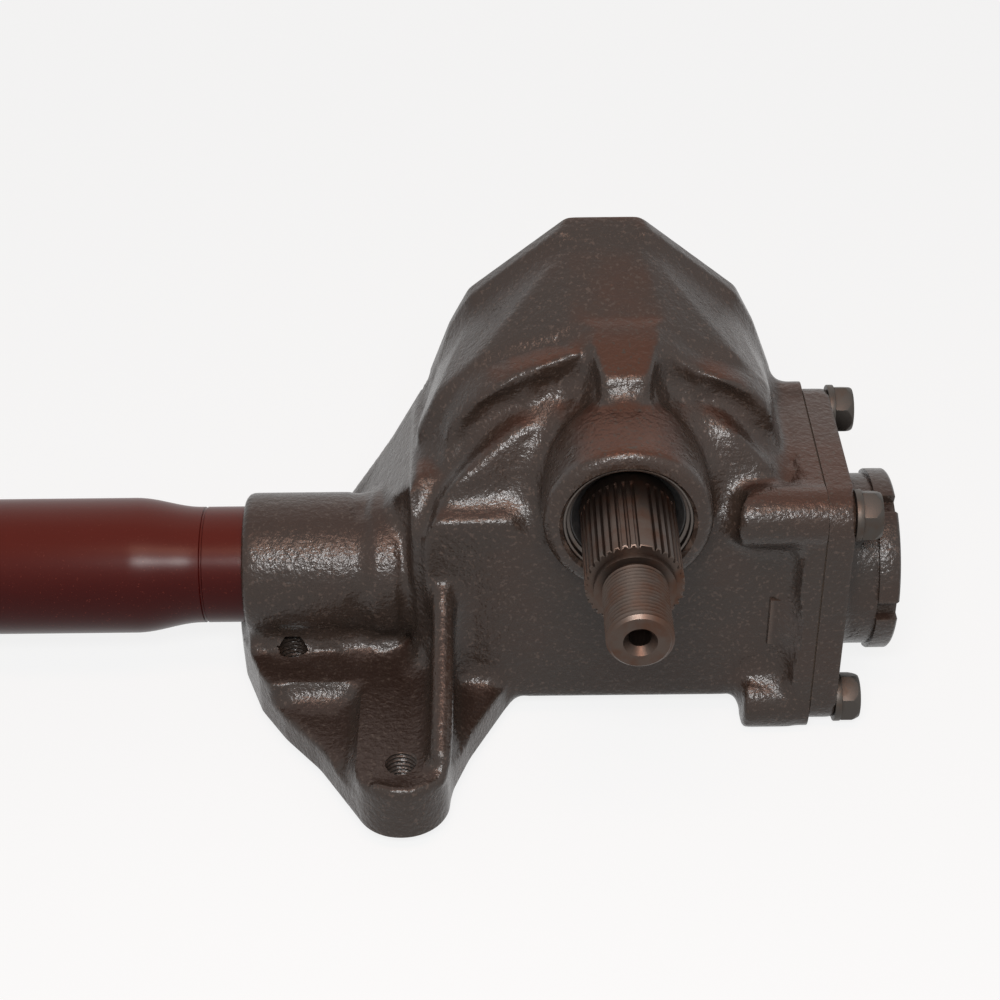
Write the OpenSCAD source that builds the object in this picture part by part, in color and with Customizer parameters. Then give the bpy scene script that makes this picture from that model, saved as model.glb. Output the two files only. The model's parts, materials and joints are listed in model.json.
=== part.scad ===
// Recirculating-ball steering gearbox with a column jacket, in millimetres.
// The pieces are drawn about the worm axis (X) and the vertical plane through it, with the
// sector axis at X = 0, and part_frame() then moves them so that the origin lies on the
// sector axis at the shoulder where the output thread starts.

/* [Gear train] */
// Height of the sector axis above the worm axis
centre_distance = 49; // [47:0.5:58]
// Pitch radius of the sector teeth
sector_pitch_r = 28; // [26:0.5:28.5]
// Teeth that a full wheel of this pitch radius would have
sector_teeth = 12; // [12:1:14]
// Worm turns for one turn of the sector
gear_ratio = 20; // [18:1:24]
// Pressure angle of rack and sector
pressure_angle = 25; // [22.5:0.5:27]
// Face width of the sector
tooth_width = 25; // [18:1:28]
// Lash left on each flank of a sector tooth
mesh_lash = 0.25; // [0.15:0.05:0.5]

/* [Worm and nut] */
// Diameter of the balls in the nut
nut_ball_d = 5.556; // [4.5:0.1:5.6]
// Radius of the circle on which the ball centres run
ball_circle_r = 10.2; // [9.6:0.1:10.4]
// Length of the ball nut
nut_length = 54; // [50:1:58]
// Half of the nut's width
nut_half_w = 17; // [15:0.5:18]
// Travel of the nut to each side, with the space to spare at its ends
nut_room = 21; // [20.5:0.5:24]

/* [Worm bearings] */
// Diameter of the bearing balls
bearing_ball_d = 6.35; // [5.5:0.1:6.5]
// Radius of the circle of bearing ball centres
bearing_circle_r = 12.6; // [12.2:0.1:13]
// Balls in one bearing
bearing_balls = 10; // [7:1:10]
// Outer radius of the bearing cups
cup_r = 18; // [17.5:0.5:19]
// Axial length of a bearing cup
cup_length = 10; // [9:0.5:12]

/* [Output shaft] */
// Diameter of the output shaft's journal and splines
output_d = 28.575; // [25:0.1:30]
// Splines around the shaft
spline_count = 36; // [30:1:40]
// Depth of the spline grooves
spline_depth = 1.35; // [0.8:0.05:1.6]
// Length of the splines that shows in front of the thread's shoulder
spline_length = 33; // [26:1:40]
// Diameter of the output thread
output_thread_d = 19.05; // [16:0.5:20]
// Length of the output thread
output_thread_length = 23; // [18:1:30]
// Diameter of the centre hole in the shaft's end
centre_hole_d = 9.6; // [6:0.2:10]
// Diameter of the shaft's rear journal in the side cover
rear_journal_d = 25.4; // [22:0.2:26]

/* [Steering column] */
// Diameter of the column jacket
jacket_d = 44.45; // [40:0.05:56]
// Diameter of the jacket's neck in the socket
neck_d = 38.1; // [32:0.1:39]
// Wall of the jacket
jacket_wall = 1.65; // [1.2:0.05:2.5]
// Length of the jacket from its seat in the socket
jacket_length = 235; // [180:5:900]
// Depth to which the neck sits in the socket
socket_depth = 26; // [20:1:28]
// Length of the neck in front of the socket
neck_length = 15; // [8:1:30]
// Length of the swaged taper
taper_length = 22; // [14:1:40]
// Diameter of the steering shaft
steering_d = 19.05; // [17:0.05:22]
// Length of the steering shaft beyond the jacket
shaft_overhang = 55; // [50:1:120]

/* [Housing] */
// Left end of the worm chamber, from the sector axis
body_left = 66; // [65:1:80]
// Distance of the front wall from the worm axis
front_wall = 30; // [29.5:0.5:34]
// Depth of the housing's bottom below the worm axis
body_bottom = 35; // [33:0.5:36]
// Radius of the worm chamber
chamber_r = 25; // [24.5:0.5:26]
// Outer radius of the jacket socket
socket_r = 23.5; // [22.5:0.5:26]
// Length of the jacket socket, collar included
socket_length = 55; // [50:1:70]
// Outer radius of the output boss
boss_r = 25.5; // [24:0.5:30]
// Distance of the boss face from the worm axis
boss_face = 48; // [46:0.5:56]
// Distance of the side cover's joint from the worm axis
cover_joint = 40; // [38:0.5:48]
// Height of the dome's top above the sector axis
dome_rise = 57; // [56:0.5:64]
// Distance by which the dome's middle lies left of the sector axis
dome_shift = 4.5; // [0:0.5:6]

/* [Mounting flange] */
// Depth of the mounting face below the worm axis
mount_face = 37; // [36:0.5:44]
// Thickness of the flange at its pads
pad_thick = 17; // [14:0.5:20]
// Depth of the web below the pads
web_drop = 6.5; // [3:0.5:9]
// Radius of a pad around its hole
pad_r = 14.7; // [13:0.1:17]
// Diameter of the tapped mounting holes
mount_hole_d = 9.8; // [8:0.1:12]
// Thickness of the gusset rib
gusset_thick = 4.5; // [3:0.5:8]

/* [End cover] */
// Thickness of the housing's end flange
end_flange_thick = 6.7; // [6:0.1:10]
// Thickness of the cover's plate
end_plate_thick = 8.3; // [7:0.1:12]
// Half of the flange's width
end_half_w = 38; // [38:0.5:44]
// Half of the flange's height
end_half_h = 44.5; // [44:0.5:52]
// Height of the flange's middle above the worm axis
end_rise = 2.5; // [0:0.5:4]
// Distance of a bolt from the flange's edges
bolt_edge = 8; // [7.5:0.5:9]
// Outer radius of the cover's hub
end_hub_r = 28; // [26:0.5:29]
// Length of the cover's hub
end_hub_length = 11.5; // [9:0.5:16]
// Radius of the bearing adjuster's thread
adjuster_r = 22; // [21.5:0.5:22.5]
// Outer radius of the notched locknut
locknut_r = 29.5; // [27:0.5:32]
// Thickness of the notched locknut
locknut_thick = 6.8; // [4:0.2:8]
// Notches around the locknut
locknut_notches = 5; // [4:1:8]

/* [Fasteners and joints] */
// Diameter of the cover bolts
bolt_d = 9.525; // [8:0.1:10]
// Width of a bolt head across its flats
bolt_flats = 14.29; // [13:0.1:16]
// Height of a bolt head
bolt_head = 6.1; // [5:0.1:8]
// Thickness of a lock washer
washer_thick = 2.2; // [1.5:0.1:3]
// Thickness of the side cover's plate
side_plate_thick = 8; // [6:0.5:12]
// Thickness of a gasket
gasket_thick = 0.5; // [0.4:0.1:1]
// Diameter of the lash adjusting screw
lash_d = 11.11; // [9.5:0.1:12]

/* [Clearances] */
// Radial clearance of a running shaft
running_gap = 0.05; // [0.02:0.01:0.1]
// Radial clearance of a seated piece
seat_gap = 0.02; // [0.01:0.01:0.05]
// Clearance of a bearing ball in its races
race_gap = 0.06; // [0.04:0.01:0.1]
// Clearance of a nut ball in the helical track
track_gap = 0.36; // [0.34:0.02:0.5]

/* [Hidden] */
$fn = 64;

// Colours
paint_brown = [0.21, 0.17, 0.155];
oxide_red = [0.36, 0.13, 0.11];
steel = [0.55, 0.52, 0.49];
bright_steel = [0.70, 0.69, 0.68];
bronze = [0.62, 0.46, 0.24];
rubber = [0.07, 0.07, 0.07];
paper = [0.30, 0.24, 0.17];
nylon = [0.82, 0.80, 0.74];

// Small amount by which cuts run past a face
past = 1;

// Gear train
tooth_module = 2*sector_pitch_r/sector_teeth;
tooth_pitch = PI*tooth_module;
tooth_step = 360/sector_teeth;
addendum = 0.8*tooth_module;
dedendum = 1.0*tooth_module;
rack_line = centre_distance - sector_pitch_r;
rack_top = rack_line + addendum;
rack_root = rack_line - dedendum;
sector_tip_r = sector_pitch_r + addendum;
sector_root_r = sector_pitch_r - dedendum;
sector_hub_r = output_d/2 + 3.5;
sector_side_teeth = 1;
lead = 2*PI*sector_pitch_r/gear_ratio;

// Worm and nut
nut_ball_r = nut_ball_d/2;
track_r = nut_ball_r + track_gap;
worm_r = ball_circle_r - 0.7;
nut_bore_r = ball_circle_r + 0.6;
nut_bottom = -(ball_circle_r + nut_ball_r + 1.6);
nut_limit_r = chamber_r - 4.5;
rack_half_w = tooth_width/2 + 0.5;
slot_gap = 1.3;
track_points = 14;
land_points = 5;
track_step = 20;
circuit_turns = 1.5;
circuit_balls = 17;
guide_wall = 0.4;
guide_bore_r = nut_ball_r + 0.2;
guide_r = guide_bore_r + guide_wall;
guide_bulge = 0.15;
guide_z = nut_bottom - guide_r - guide_bulge - seat_gap;
clamp_thick = 1;
clamp_screw_head = 0.8;
clamp_half_w = 5;
clamp_length = 28;
clamp_screw_r = 2.1;

// Positions along the worm axis
chamber_left = -(nut_length/2 + nut_room + 2);
worm_end = nut_length/2 + nut_room - 2;
bearing_x = worm_end + 8;
cup_inner_x = bearing_x - 2;
cup_outer_x = cup_inner_x + cup_length;
journal_end = cup_outer_x + 3;
collar_r = bearing_circle_r - 0.4;
journal_r = bearing_circle_r - bearing_ball_d/2;
cage_r = [bearing_circle_r + 0.3, bearing_circle_r + 2];
cage_span = [bearing_x - 5, bearing_x + 0.4];
worm_stub_r = 6.4;
worm_stub_left = -(body_left + 26);
socket_left = -(body_left + socket_length);
jacket_seat = socket_left + socket_depth;
jacket_end = jacket_seat - jacket_length;
neck_end = socket_left - neck_length;
taper_end = neck_end - taper_length;
collar_left = -(body_left + 20);
passage_r = steering_d/2 + 2.5;
seal_left = -(body_left + 17);
seal_right = seal_left + 8;
worm_seal_r = steering_d/2 + 5;
steering_right = -journal_end;
steering_left = jacket_end - shaft_overhang;
serration_depth = 0.6;
serration_length = 22;
steering_thread_r = 7.94;
steering_thread_length = 21;
bush_length = 16;
bush_rim = 3;

// End cover, from the joint outwards
joint_x = cup_outer_x - 0.8;
end_cover_x = joint_x + gasket_thick;
end_face_x = end_cover_x + end_plate_thick;
end_hub_x = end_face_x + end_hub_length;
flange_x = joint_x - end_flange_thick;
adjuster_left = cup_inner_x - 0.6;
adjuster_right = end_hub_x + locknut_thick - 0.6;
adjuster_bore_r = bearing_circle_r - bearing_ball_d/2 + 0.4;
bolt_y = end_half_w - bolt_edge;
bolt_z = end_half_h - bolt_edge;
bolt_boss_r = bolt_edge + 1.4;
boss_reach = [3, 18];
bolt_reach = 17;
flange_corner_r = 11;
ledge_z = centre_distance - 7;
root_corner_r = 4;

// Output shaft, from its end to the side cover
shoulder_y = -(boss_face + spline_length - 2);
thread_end_y = shoulder_y - output_thread_length;
spline_start_y = -boss_face + 2.8;
undercut_r = output_thread_d/2 + 2.3;
undercut_length = 2.2;
output_r = output_d/2;
rear_journal_r = rear_journal_d/2;
seal_r = output_r + 5.2;
seal_depth = 8;
seal_set_back = 1.6;
bushing_r = output_r + 3;
bushing_length = 10;
sector_room_front = -(tooth_width/2 + 2);
sector_room_r = sector_tip_r + 2.3;
hub_room_r = sector_hub_r + 2.2;

// Side cover
side_cover_y = cover_joint + gasket_thick;
side_face_y = side_cover_y + side_plate_thick;
side_hub_r = 19;
side_hub_y = side_face_y + 6;
spigot_r = rear_journal_r + 6.6;
side_bushing_r = rear_journal_r + 2.6;
spigot_front = tooth_width/2 + 3.5;
rear_journal_end = cover_joint - 1;
lash_head_r = lash_d/2 + 3.2;
lash_head_thick = 3.8;
lash_head_y = rear_journal_end - 8.5;
lash_shim_thick = 1.6;
lash_end_y = side_hub_y + 16;
lash_nut_thick = 6.5;
lash_nut_flats = 17.5;
flat_half = 11;
cover_half = 56.5;
cover_margin = 6.5;
side_bolt_drop = 18.5;
side_bolt_reach = 11;
side_bolt_in = 11;

// Mounting flange
flange_top = pad_thick - mount_face;
web_top = flange_top - web_drop;
tip_hole = [-69, -75];
socket_hole = [-106, -20];
rear_hole = [-92, 50];
gusset_right = tip_hole[0] + pad_r - 0.2;
flange_left = socket_left - 5.5;
rim_width = 3.5;
rim_rise = 1.8;
strip_left = tip_hole[0] - pad_r;

// The move from the worm axis to the origin on the output shaft
module part_frame() translate([0, -shoulder_y, -centre_distance]) children();

// Round bars along the axes
module bar_x(x0, x1, r) translate([x0, 0, 0]) rotate([0, 90, 0]) cylinder(r = r, h = x1 - x0);
module bar_y(y0, y1, r) translate([0, y1, 0]) rotate([90, 0, 0]) cylinder(r = r, h = y1 - y0);

// A profile of radius and place, turned about the worm axis or about the sector axis
module turn_x() rotate([0, 90, 0]) rotate_extrude() children();
module turn_y() translate([0, 0, centre_distance]) rotate([-90, 0, 0]) rotate_extrude() children();

// A plate across the worm axis, drawn in Y and Z, and one across the sector axis, drawn in X and Z
module plate_x(x0, x1) translate([x0, 0, 0]) rotate([90, 0, 90]) linear_extrude(x1 - x0) children();
module plate_y(y0, y1) translate([0, y1, 0]) rotate([90, 0, 0]) linear_extrude(y1 - y0) children();

module at_sector() translate([0, 0, centre_distance]) children();

// Square washer profile for turning: radii r0 to r1, from a to b along the axis
module ring_profile(r0, r1, a, b) translate([r0, a]) square([r1 - r0, b - a]);

// Rectangle with round corners
module rounded_rect(low, high, r) {
    translate([low[0] + r, low[1]]) square([high[0] - low[0] - 2*r, high[1] - low[1]]);
    translate([low[0], low[1] + r]) square([high[0] - low[0], high[1] - low[1] - 2*r]);
    for (x = [low[0] + r, high[0] - r], y = [low[1] + r, high[1] - r]) translate([x, y]) circle(r);
}

// Places of the four end cover bolts, in Y and Z
end_bolts = [for (y = [-1, 1], z = [-1, 1]) [y*bolt_y, end_rise + z*bolt_z]];

// Outline of the rear flange in X and Z: a diamond with cut corners, shrunk by a margin for the cover
function cover_quarter(m) = [
    [flat_half - m/3, dome_rise - m], [43 - 0.8*m, 0.55*dome_rise - 0.8*m],
    [cover_half - 7 - 0.7*m, 0.33*dome_rise - m/2], [cover_half - m/2, 0]];
function cover_outline(m) = let (q = cover_quarter(m)) concat(
    [for (i = [0 : 3]) [q[i][0] - dome_shift, centre_distance + q[i][1]]],
    [for (i = [2 : -1 : 0]) [q[i][0] - dome_shift, centre_distance - q[i][1]]],
    [for (i = [0 : 3]) [-q[i][0] - dome_shift, centre_distance - q[i][1]]],
    [for (i = [2 : -1 : 0]) [-q[i][0] - dome_shift, centre_distance + q[i][1]]]);

// Places of the four side cover bolts, in X and Z
side_bolts = [
    [-dome_shift, centre_distance + dome_rise - side_bolt_drop],
    [-dome_shift, centre_distance - dome_rise + side_bolt_drop],
    [cover_half - side_bolt_in - dome_shift, centre_distance],
    [side_bolt_in - cover_half - dome_shift, centre_distance]];

// Housing

// Cross-sections of the dome in X and Z: at the rear flange, at the roof's front edge, at the foot
// of the short wall below that edge, and at the ledge above the front wall
base_z = 10;
function dome_section(low, low_z, eave, eave_z, shoulder, shoulder_z, flat, top_z) = [
    [low[1], base_z], [low[1], low_z], [eave[1], eave_z], [shoulder[1], shoulder_z], [flat[1], top_z],
    [flat[0], top_z], [shoulder[0], shoulder_z], [eave[0], eave_z], [low[0], low_z], [low[0], base_z]];
dome_top = centre_distance + dome_rise;
dome_y = [cover_joint - 6, 3, -2.5, -front_wall + 7];
dome_sections = [
    dome_section([-61, 50], ledge_z, [-57, 48], centre_distance + 8, [-46, 37], dome_top - 30,
                 [-14, 5], dome_top - 3.5),
    dome_section([-64.5, 49], centre_distance, [-58, 47], centre_distance + 14.5, [-45, 36], dome_top - 30,
                 [-16, 13], dome_top - 19),
    dome_section([-60, 50], ledge_z - 1, [-53, 49], centre_distance + 4, [-40, 37], centre_distance + 18,
                 [-14, 14], centre_distance + 29),
    dome_section([-60, 49], ledge_z - 5, [-59, 48], ledge_z - 3, [-56, 44], ledge_z - 1.5,
                 [-20, 20], ledge_z - 0.5)];

module dome_slice(i) plate_y(dome_y[i], dome_y[i] + 0.5) polygon(dome_sections[i]);

module dome() for (i = [0 : 2]) hull() {
    dome_slice(i);
    dome_slice(i + 1);
}

// Rib that runs from the dome's roof down onto the output boss
module dome_rib() hull() {
    translate([-12, dome_y[1], dome_top - 34]) cube([25, 1, 16.4]);
    translate([-7, -17, centre_distance + 12]) cube([14, 1, boss_r - 5]);
    translate([-7, -20.5, centre_distance + 12]) cube([14, 1, boss_r - 12.5]);
}

// Wall from the dome's left end down to the rear mounting pad
module rear_web() plate_y(cover_joint - 8, cover_joint - 1)
    polygon([[-54, 66], [-61, 49], [-74, 25], [-89, 2], [-100, -22], [-54, -24]]);

// Fillet of metal between the dome's left end and the socket
module neck_fill() hull() {
    translate([-body_left + 2, -14, -20]) cube([4, cover_joint + 10, 64]);
    translate([-90, 12, -22]) cube([4, cover_joint - 16, 20]);
}

module chamber_block() plate_x(-body_left, flange_x + 1) {
    rounded_rect([-front_wall, -base_z], [front_wall + 5, ledge_z], 7);
    rounded_rect([-front_wall, -body_bottom], [front_wall + 5, base_z], root_corner_r);
    translate([-front_wall, -base_z]) square([2*front_wall + 5, 2*base_z]);
}

module socket() turn_x() polygon([
    [0, socket_left], [socket_r - 1.2, socket_left], [socket_r, socket_left + 1.2],
    [socket_r, collar_left], [socket_r - 1.6, collar_left + 2], [socket_r - 1.6, collar_left + 4],
    [socket_r + 1.2, collar_left + 7], [socket_r + 1.2, -body_left - 5], [socket_r - 2, -body_left - 1],
    [socket_r - 2, -body_left], [0, -body_left + 6]]);

// Outline of the end flange and its cover, in Y and Z
module end_plate() translate([0, end_rise])
    rounded_rect([-end_half_w, -end_half_h], [end_half_w, end_half_h], flange_corner_r);

module end_flange() {
    plate_x(flange_x, joint_x) end_plate();
    for (b = end_bolts) translate([0, b[0], b[1]]) bolt_boss(flange_x - boss_reach[b[1] > 0 ? 1 : 0]);
}

// Boss with a rounded end, from the joint back to x and a little beyond
module bolt_boss(x) turn_x() polygon([
    [0, x - 8], [0.55*bolt_boss_r, x - 7], [0.88*bolt_boss_r, x - 4], [bolt_boss_r, x],
    [bolt_boss_r, joint_x], [0, joint_x]]);

module pad_outline() {
    translate([flange_left, -38]) square([strip_left - flange_left + past, 38]);
    translate([strip_left, tip_hole[1]]) square([2*pad_r, -tip_hole[1]]);
    translate(tip_hole) circle(pad_r);
    translate(rear_hole) circle(pad_r);
    translate([rear_hole[0] - pad_r, 0]) square([2*pad_r, rear_hole[1]]);
}

module flange_outline() {
    polygon([
        [flange_left, 18], [flange_left, 4], [flange_left + 3, -12], [flange_left + 10, -31],
        [flange_left + 19, -45], [flange_left + 31, -59.5],
        [tip_hole[0] - 0.86*pad_r, tip_hole[1] - 0.5*pad_r],
        [tip_hole[0] + 0.94*pad_r, tip_hole[1] - 0.34*pad_r],
        [-53.5, -69], [-48.5, -55], [-33, -23], [-32, 20], [-60, 34],
        [rear_hole[0] + 0.6*pad_r, rear_hole[1] + 0.8*pad_r],
        [rear_hole[0] - 0.86*pad_r, rear_hole[1] + 0.5*pad_r]]);
    for (h = [tip_hole, rear_hole]) translate(h) circle(pad_r);
}

// Rib from the front wall to the tip pad
module gusset() plate_x(gusset_right - gusset_thick, gusset_right) polygon([
    [0, -24], [0, 20], [-front_wall, 15], [-front_wall - 6, 9], [tip_hole[1] - 4, flange_top + 5],
    [tip_hole[1] - 9, flange_top - 1]]);

// Raised rim in which the gusset runs out around the tip pad
module tip_rim() translate([tip_hole[0], tip_hole[1], flange_top - past]) linear_extrude(rim_rise + past)
    difference() {
        intersection() {
            circle(pad_r - 0.2);
            translate([-0.3*pad_r, -pad_r]) square([1.3*pad_r, pad_r]);
        }
        circle(pad_r - rim_width);
    }

module mounting_flange() {
    translate([0, 0, -mount_face]) linear_extrude(web_top + mount_face) flange_outline();
    translate([0, 0, web_top - past]) linear_extrude(web_drop + past) intersection() {
        flange_outline();
        pad_outline();
    }
    gusset();
    tip_rim();
}

// Web that closes the gap between the dome's right end and the end flange
module end_web() translate([flange_x - 12, -front_wall + 12, ledge_z - 8])
    cube([12.5, cover_joint + front_wall - 20, end_rise + end_half_h - ledge_z + 6.5]);

module rear_flange() plate_y(cover_joint - 7, cover_joint) polygon(cover_outline(0));

module housing_outside() {
    chamber_block();
    dome();
    dome_rib();
    rear_web();
    neck_fill();
    rear_flange();
    socket();
    end_flange();
    end_web();
    mounting_flange();
    at_sector() bar_y(-boss_face, 4, boss_r);
    // plain raised strip beside the end flange
    translate([flange_x - 6, -front_wall - 1.8, -11]) cube([6.5, 4, 19]);
}

module housing_hollow() {
    // worm chamber with its slot for the rack
    bar_x(chamber_left, joint_x + past, chamber_r);
    translate([chamber_left, -rack_half_w - slot_gap, 0])
        cube([joint_x + past - chamber_left, 2*(rack_half_w + slot_gap), rack_top + slot_gap]);
    // upper bearing, shaft passage, seal and jacket socket
    bar_x(-cup_outer_x, chamber_left + past, cup_r + seat_gap);
    bar_x(jacket_seat - past, -cup_outer_x + past, passage_r);
    bar_x(seal_left, seal_right, worm_seal_r + seat_gap);
    bar_x(jacket_seat - 6, seal_left + past, worm_seal_r + seat_gap);
    bar_x(socket_left - past, jacket_seat, neck_d/2 + seat_gap);
    // sector chamber, open to the side cover
    at_sector() {
        bar_y(sector_room_front, cover_joint + past, hub_room_r);
        bar_y(spigot_front - 1.5, cover_joint + past, spigot_r + 0.4);
        intersection() {
            bar_y(sector_room_front, cover_joint + past, sector_room_r);
            translate([-sector_room_r, sector_room_front, -sector_room_r])
                cube([2*sector_room_r, cover_joint - sector_room_front + past, sector_room_r - 1]);
        }
        // bushings, seal and the chamfer of the boss
        bar_y(-boss_face - past, sector_room_front + past, bushing_r + seat_gap);
        bar_y(-boss_face - past, -boss_face + seal_set_back + seal_depth, seal_r + seat_gap);
    }
    turn_y() polygon([
        [boss_r - 2, -boss_face - 0.01], [boss_r + 1, -boss_face - 0.01], [boss_r + 1, -boss_face + 3]]);
    // tapped holes
    for (h = [tip_hole, socket_hole, rear_hole])
        translate([h[0], h[1], -mount_face - past]) cylinder(d = mount_hole_d, h = pad_thick + 2*past);
    for (b = end_bolts) translate([0, b[0], b[1]])
        bar_x(joint_x - bolt_reach, joint_x + past, bolt_d/2 + seat_gap);
    for (b = side_bolts) translate([b[0], 0, b[1]])
        bar_y(cover_joint - side_bolt_reach, cover_joint + past, bolt_d/2 + seat_gap);
}

module gear_housing() color(paint_brown) part_frame() difference() {
    housing_outside();
    housing_hollow();
}

// Steering column

// Radius of the jacket along its length: neck, smooth taper, tube
taper_steps = 12;
function taper_r(i) = neck_d/2 + (jacket_d - neck_d)/2*(1 - cos(180*i/taper_steps))/2;
function taper_x(i) = neck_end + (taper_end - neck_end)*i/taper_steps;
function jacket_line(inset) = concat(
    [[neck_d/2 - inset, jacket_seat]],
    [for (i = [0 : taper_steps]) [taper_r(i) - inset, taper_x(i)]],
    [[jacket_d/2 - inset, jacket_end]]);

module jacket_tube() color(oxide_red) part_frame() {
    inner = jacket_line(jacket_wall);
    turn_x() difference() {
        polygon(concat(jacket_line(0), [for (i = [len(inner) - 1 : -1 : 0]) inner[i]]));
        // fine ring line where the taper starts
        ring_profile(neck_d/2 - 0.4, neck_d/2 + 1, neck_end + 1, neck_end + 1.8);
    }
}

module jacket_bush() color(nylon) part_frame() turn_x() {
    bore = steering_d/2 + running_gap;
    ring_profile(bore, jacket_d/2 - jacket_wall - seat_gap, jacket_end, jacket_end + bush_length);
    ring_profile(bore, jacket_d/2 - 0.6, jacket_end - bush_rim, jacket_end);
}

// Circle with triangular grooves
module serrated(r, depth, count) difference() {
    circle(r);
    for (i = [0 : count - 1]) rotate(360*i/count)
        polygon([[r - depth, 0], [r + depth, 2*PI*r/count], [r + depth, -2*PI*r/count]]);
}

module steering_shaft() color(steel) part_frame() {
    plain_left = steering_left + steering_thread_length + serration_length;
    difference() {
        bar_x(plain_left, steering_right, steering_d/2);
        bar_x(worm_stub_left - 1, steering_right + past, worm_stub_r + seat_gap);
    }
    plate_x(plain_left - serration_length, plain_left + 0.01)
        serrated(steering_d/2 - 0.7, serration_depth, spline_count);
    bar_x(steering_left, plain_left - serration_length + past, steering_thread_r);
}

// Ball track: distance of the track's wall from the worm axis, at an angle from its middle.
// side is -1 on the worm and +1 in the nut.
track_cos = cos(atan(lead/(2*PI*ball_circle_r)));
function track_depth(a) = let (u = lead*a/360*track_cos)
    abs(u) < track_r ? sqrt(track_r*track_r - u*u) : 0;
function track_half_angle(limit) =
    let (d = abs(limit - ball_circle_r), w = sqrt(track_r*track_r - d*d)) w/track_cos*360/lead;
function track_section(side, limit) = let (half = track_half_angle(limit)) concat(
    [for (i = [-track_points/2 : track_points/2])
        let (a = half*2*i/track_points, r = ball_circle_r + side*track_depth(a)) r*[cos(a), sin(a)]],
    [for (i = [1 : land_points])
        let (a = half + (360 - 2*half)*i/(land_points + 1)) limit*[cos(a), sin(a)]]);

// Body of that section, twisted along the lead from x0 to x1
module track_body(x0, x1, side, limit) translate([x0, 0, 0]) rotate([0, 90, 0])
    linear_extrude(height = x1 - x0, twist = -360*(x1 - x0)/lead,
                   slices = ceil(360*(x1 - x0)/lead/track_step), $fn = 8)
        rotate(360*x0/lead) polygon(track_section(side, limit));

// Where the middle of the track lies, at a place along the worm
function track_point(x) = [x, ball_circle_r*sin(360*x/lead), -ball_circle_r*cos(360*x/lead)];

// Ring of balls in a worm bearing; end is -1 at the upper and 1 at the lower bearing
module bearing_ring(end, r) for (i = [0 : bearing_balls - 1]) rotate([360*i/bearing_balls, 0, 0])
    translate([end*bearing_x, 0, bearing_circle_r]) sphere(r = r);

// Race that is cut into the worm and the cups
module race(end) turn_x() translate([bearing_circle_r, end*bearing_x])
    circle(bearing_ball_d/2 + race_gap);

module worm() color(steel) part_frame() {
    track_body(-worm_end, worm_end, -1, worm_r);
    for (end = [-1, 1]) difference() {
        turn_x() mirror([0, end < 0 ? 1 : 0]) polygon([
            [0, worm_end - 1.5], [worm_r - 1, worm_end - 1.5], [worm_r - 1, worm_end + 1],
            [collar_r, worm_end + 2.2], [collar_r, bearing_x - 0.6], [journal_r + 0.4, bearing_x + 0.8],
            [journal_r - 0.2, journal_end], [0, journal_end]]);
        race(end);
    }
    bar_x(worm_stub_left, -cup_outer_x, worm_stub_r);
}

// Cup for the bearing at that end, open towards the worm
module bearing_cup(end) color(bright_steel) part_frame() difference() {
    turn_x() mirror([0, end < 0 ? 1 : 0]) polygon([
        [journal_r + 1.2, bearing_x + 2.6], [journal_r + 1.2, cup_outer_x], [cup_r, cup_outer_x],
        [cup_r, cup_inner_x], [bearing_circle_r + bearing_ball_d/2 + race_gap, cup_inner_x],
        [bearing_circle_r + bearing_ball_d/2 + race_gap, bearing_x],
        [bearing_circle_r + 1.6, bearing_x + 2.6]]);
    race(end);
}

module bearing_set(end) color(bright_steel) part_frame() bearing_ring(end, bearing_ball_d/2);

module bearing_cage(end) color(bronze) part_frame() difference() {
    turn_x() mirror([0, end < 0 ? 1 : 0])
        ring_profile(cage_r[0], cage_r[1], cage_span[0], cage_span[1]);
    bearing_ring(end, bearing_ball_d/2 + race_gap);
}

module upper_bearing_cup() bearing_cup(-1);
module lower_bearing_cup() bearing_cup(1);
module upper_bearing_balls() bearing_set(-1);
module lower_bearing_balls() bearing_set(1);
module upper_bearing_cage() bearing_cage(-1);
module lower_bearing_cage() bearing_cage(1);

module worm_seal() color(rubber) part_frame() turn_x() polygon([
    [steering_d/2 + running_gap, seal_left + 2], [steering_d/2 + 1.4, seal_left],
    [worm_seal_r, seal_left], [worm_seal_r, seal_right], [worm_seal_r - 2, seal_right],
    [worm_seal_r - 2, seal_left + 2.4], [steering_d/2 + 1.4, seal_left + 4]]);

// End cover and worm bearing adjuster

module end_outline() difference() {
    end_plate();
    for (b = end_bolts) translate(b) circle(bolt_d/2 + 0.3);
}

module end_cover() color(paint_brown) part_frame() difference() {
    union() {
        plate_x(end_cover_x, end_face_x) end_outline();
        turn_x() polygon([
            [adjuster_r - 1, end_face_x - 2], [end_hub_r + 3.5, end_face_x - 2],
            [end_hub_r + 3.5, end_face_x], [end_hub_r + 1, end_face_x + 1.2],
            [end_hub_r, end_face_x + 3.5], [end_hub_r, end_hub_x],
            [adjuster_r - 1, end_hub_x]]);
    }
    bar_x(end_cover_x - past, end_hub_x + past, adjuster_r + seat_gap);
}

module end_cover_gasket() color(paper) part_frame() plate_x(joint_x, end_cover_x) difference() {
    end_outline();
    circle(chamber_r);
    translate([-rack_half_w - slot_gap, 0]) square([2*(rack_half_w + slot_gap), rack_top + slot_gap]);
}

// Hexagon of a given width across its flats
module hexagon(flats) circle(d = flats/cos(30), $fn = 6);

// Bolt along +Z with its head's seat at 0
module hex_bolt(reach) {
    intersection() {
        linear_extrude(bolt_head) hexagon(bolt_flats);
        cylinder(r1 = bolt_flats/2 + 3, r2 = bolt_flats/2 - 0.3, h = bolt_head);
    }
    translate([0, 0, -reach]) cylinder(d = bolt_d, h = reach + 0.5);
}

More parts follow.
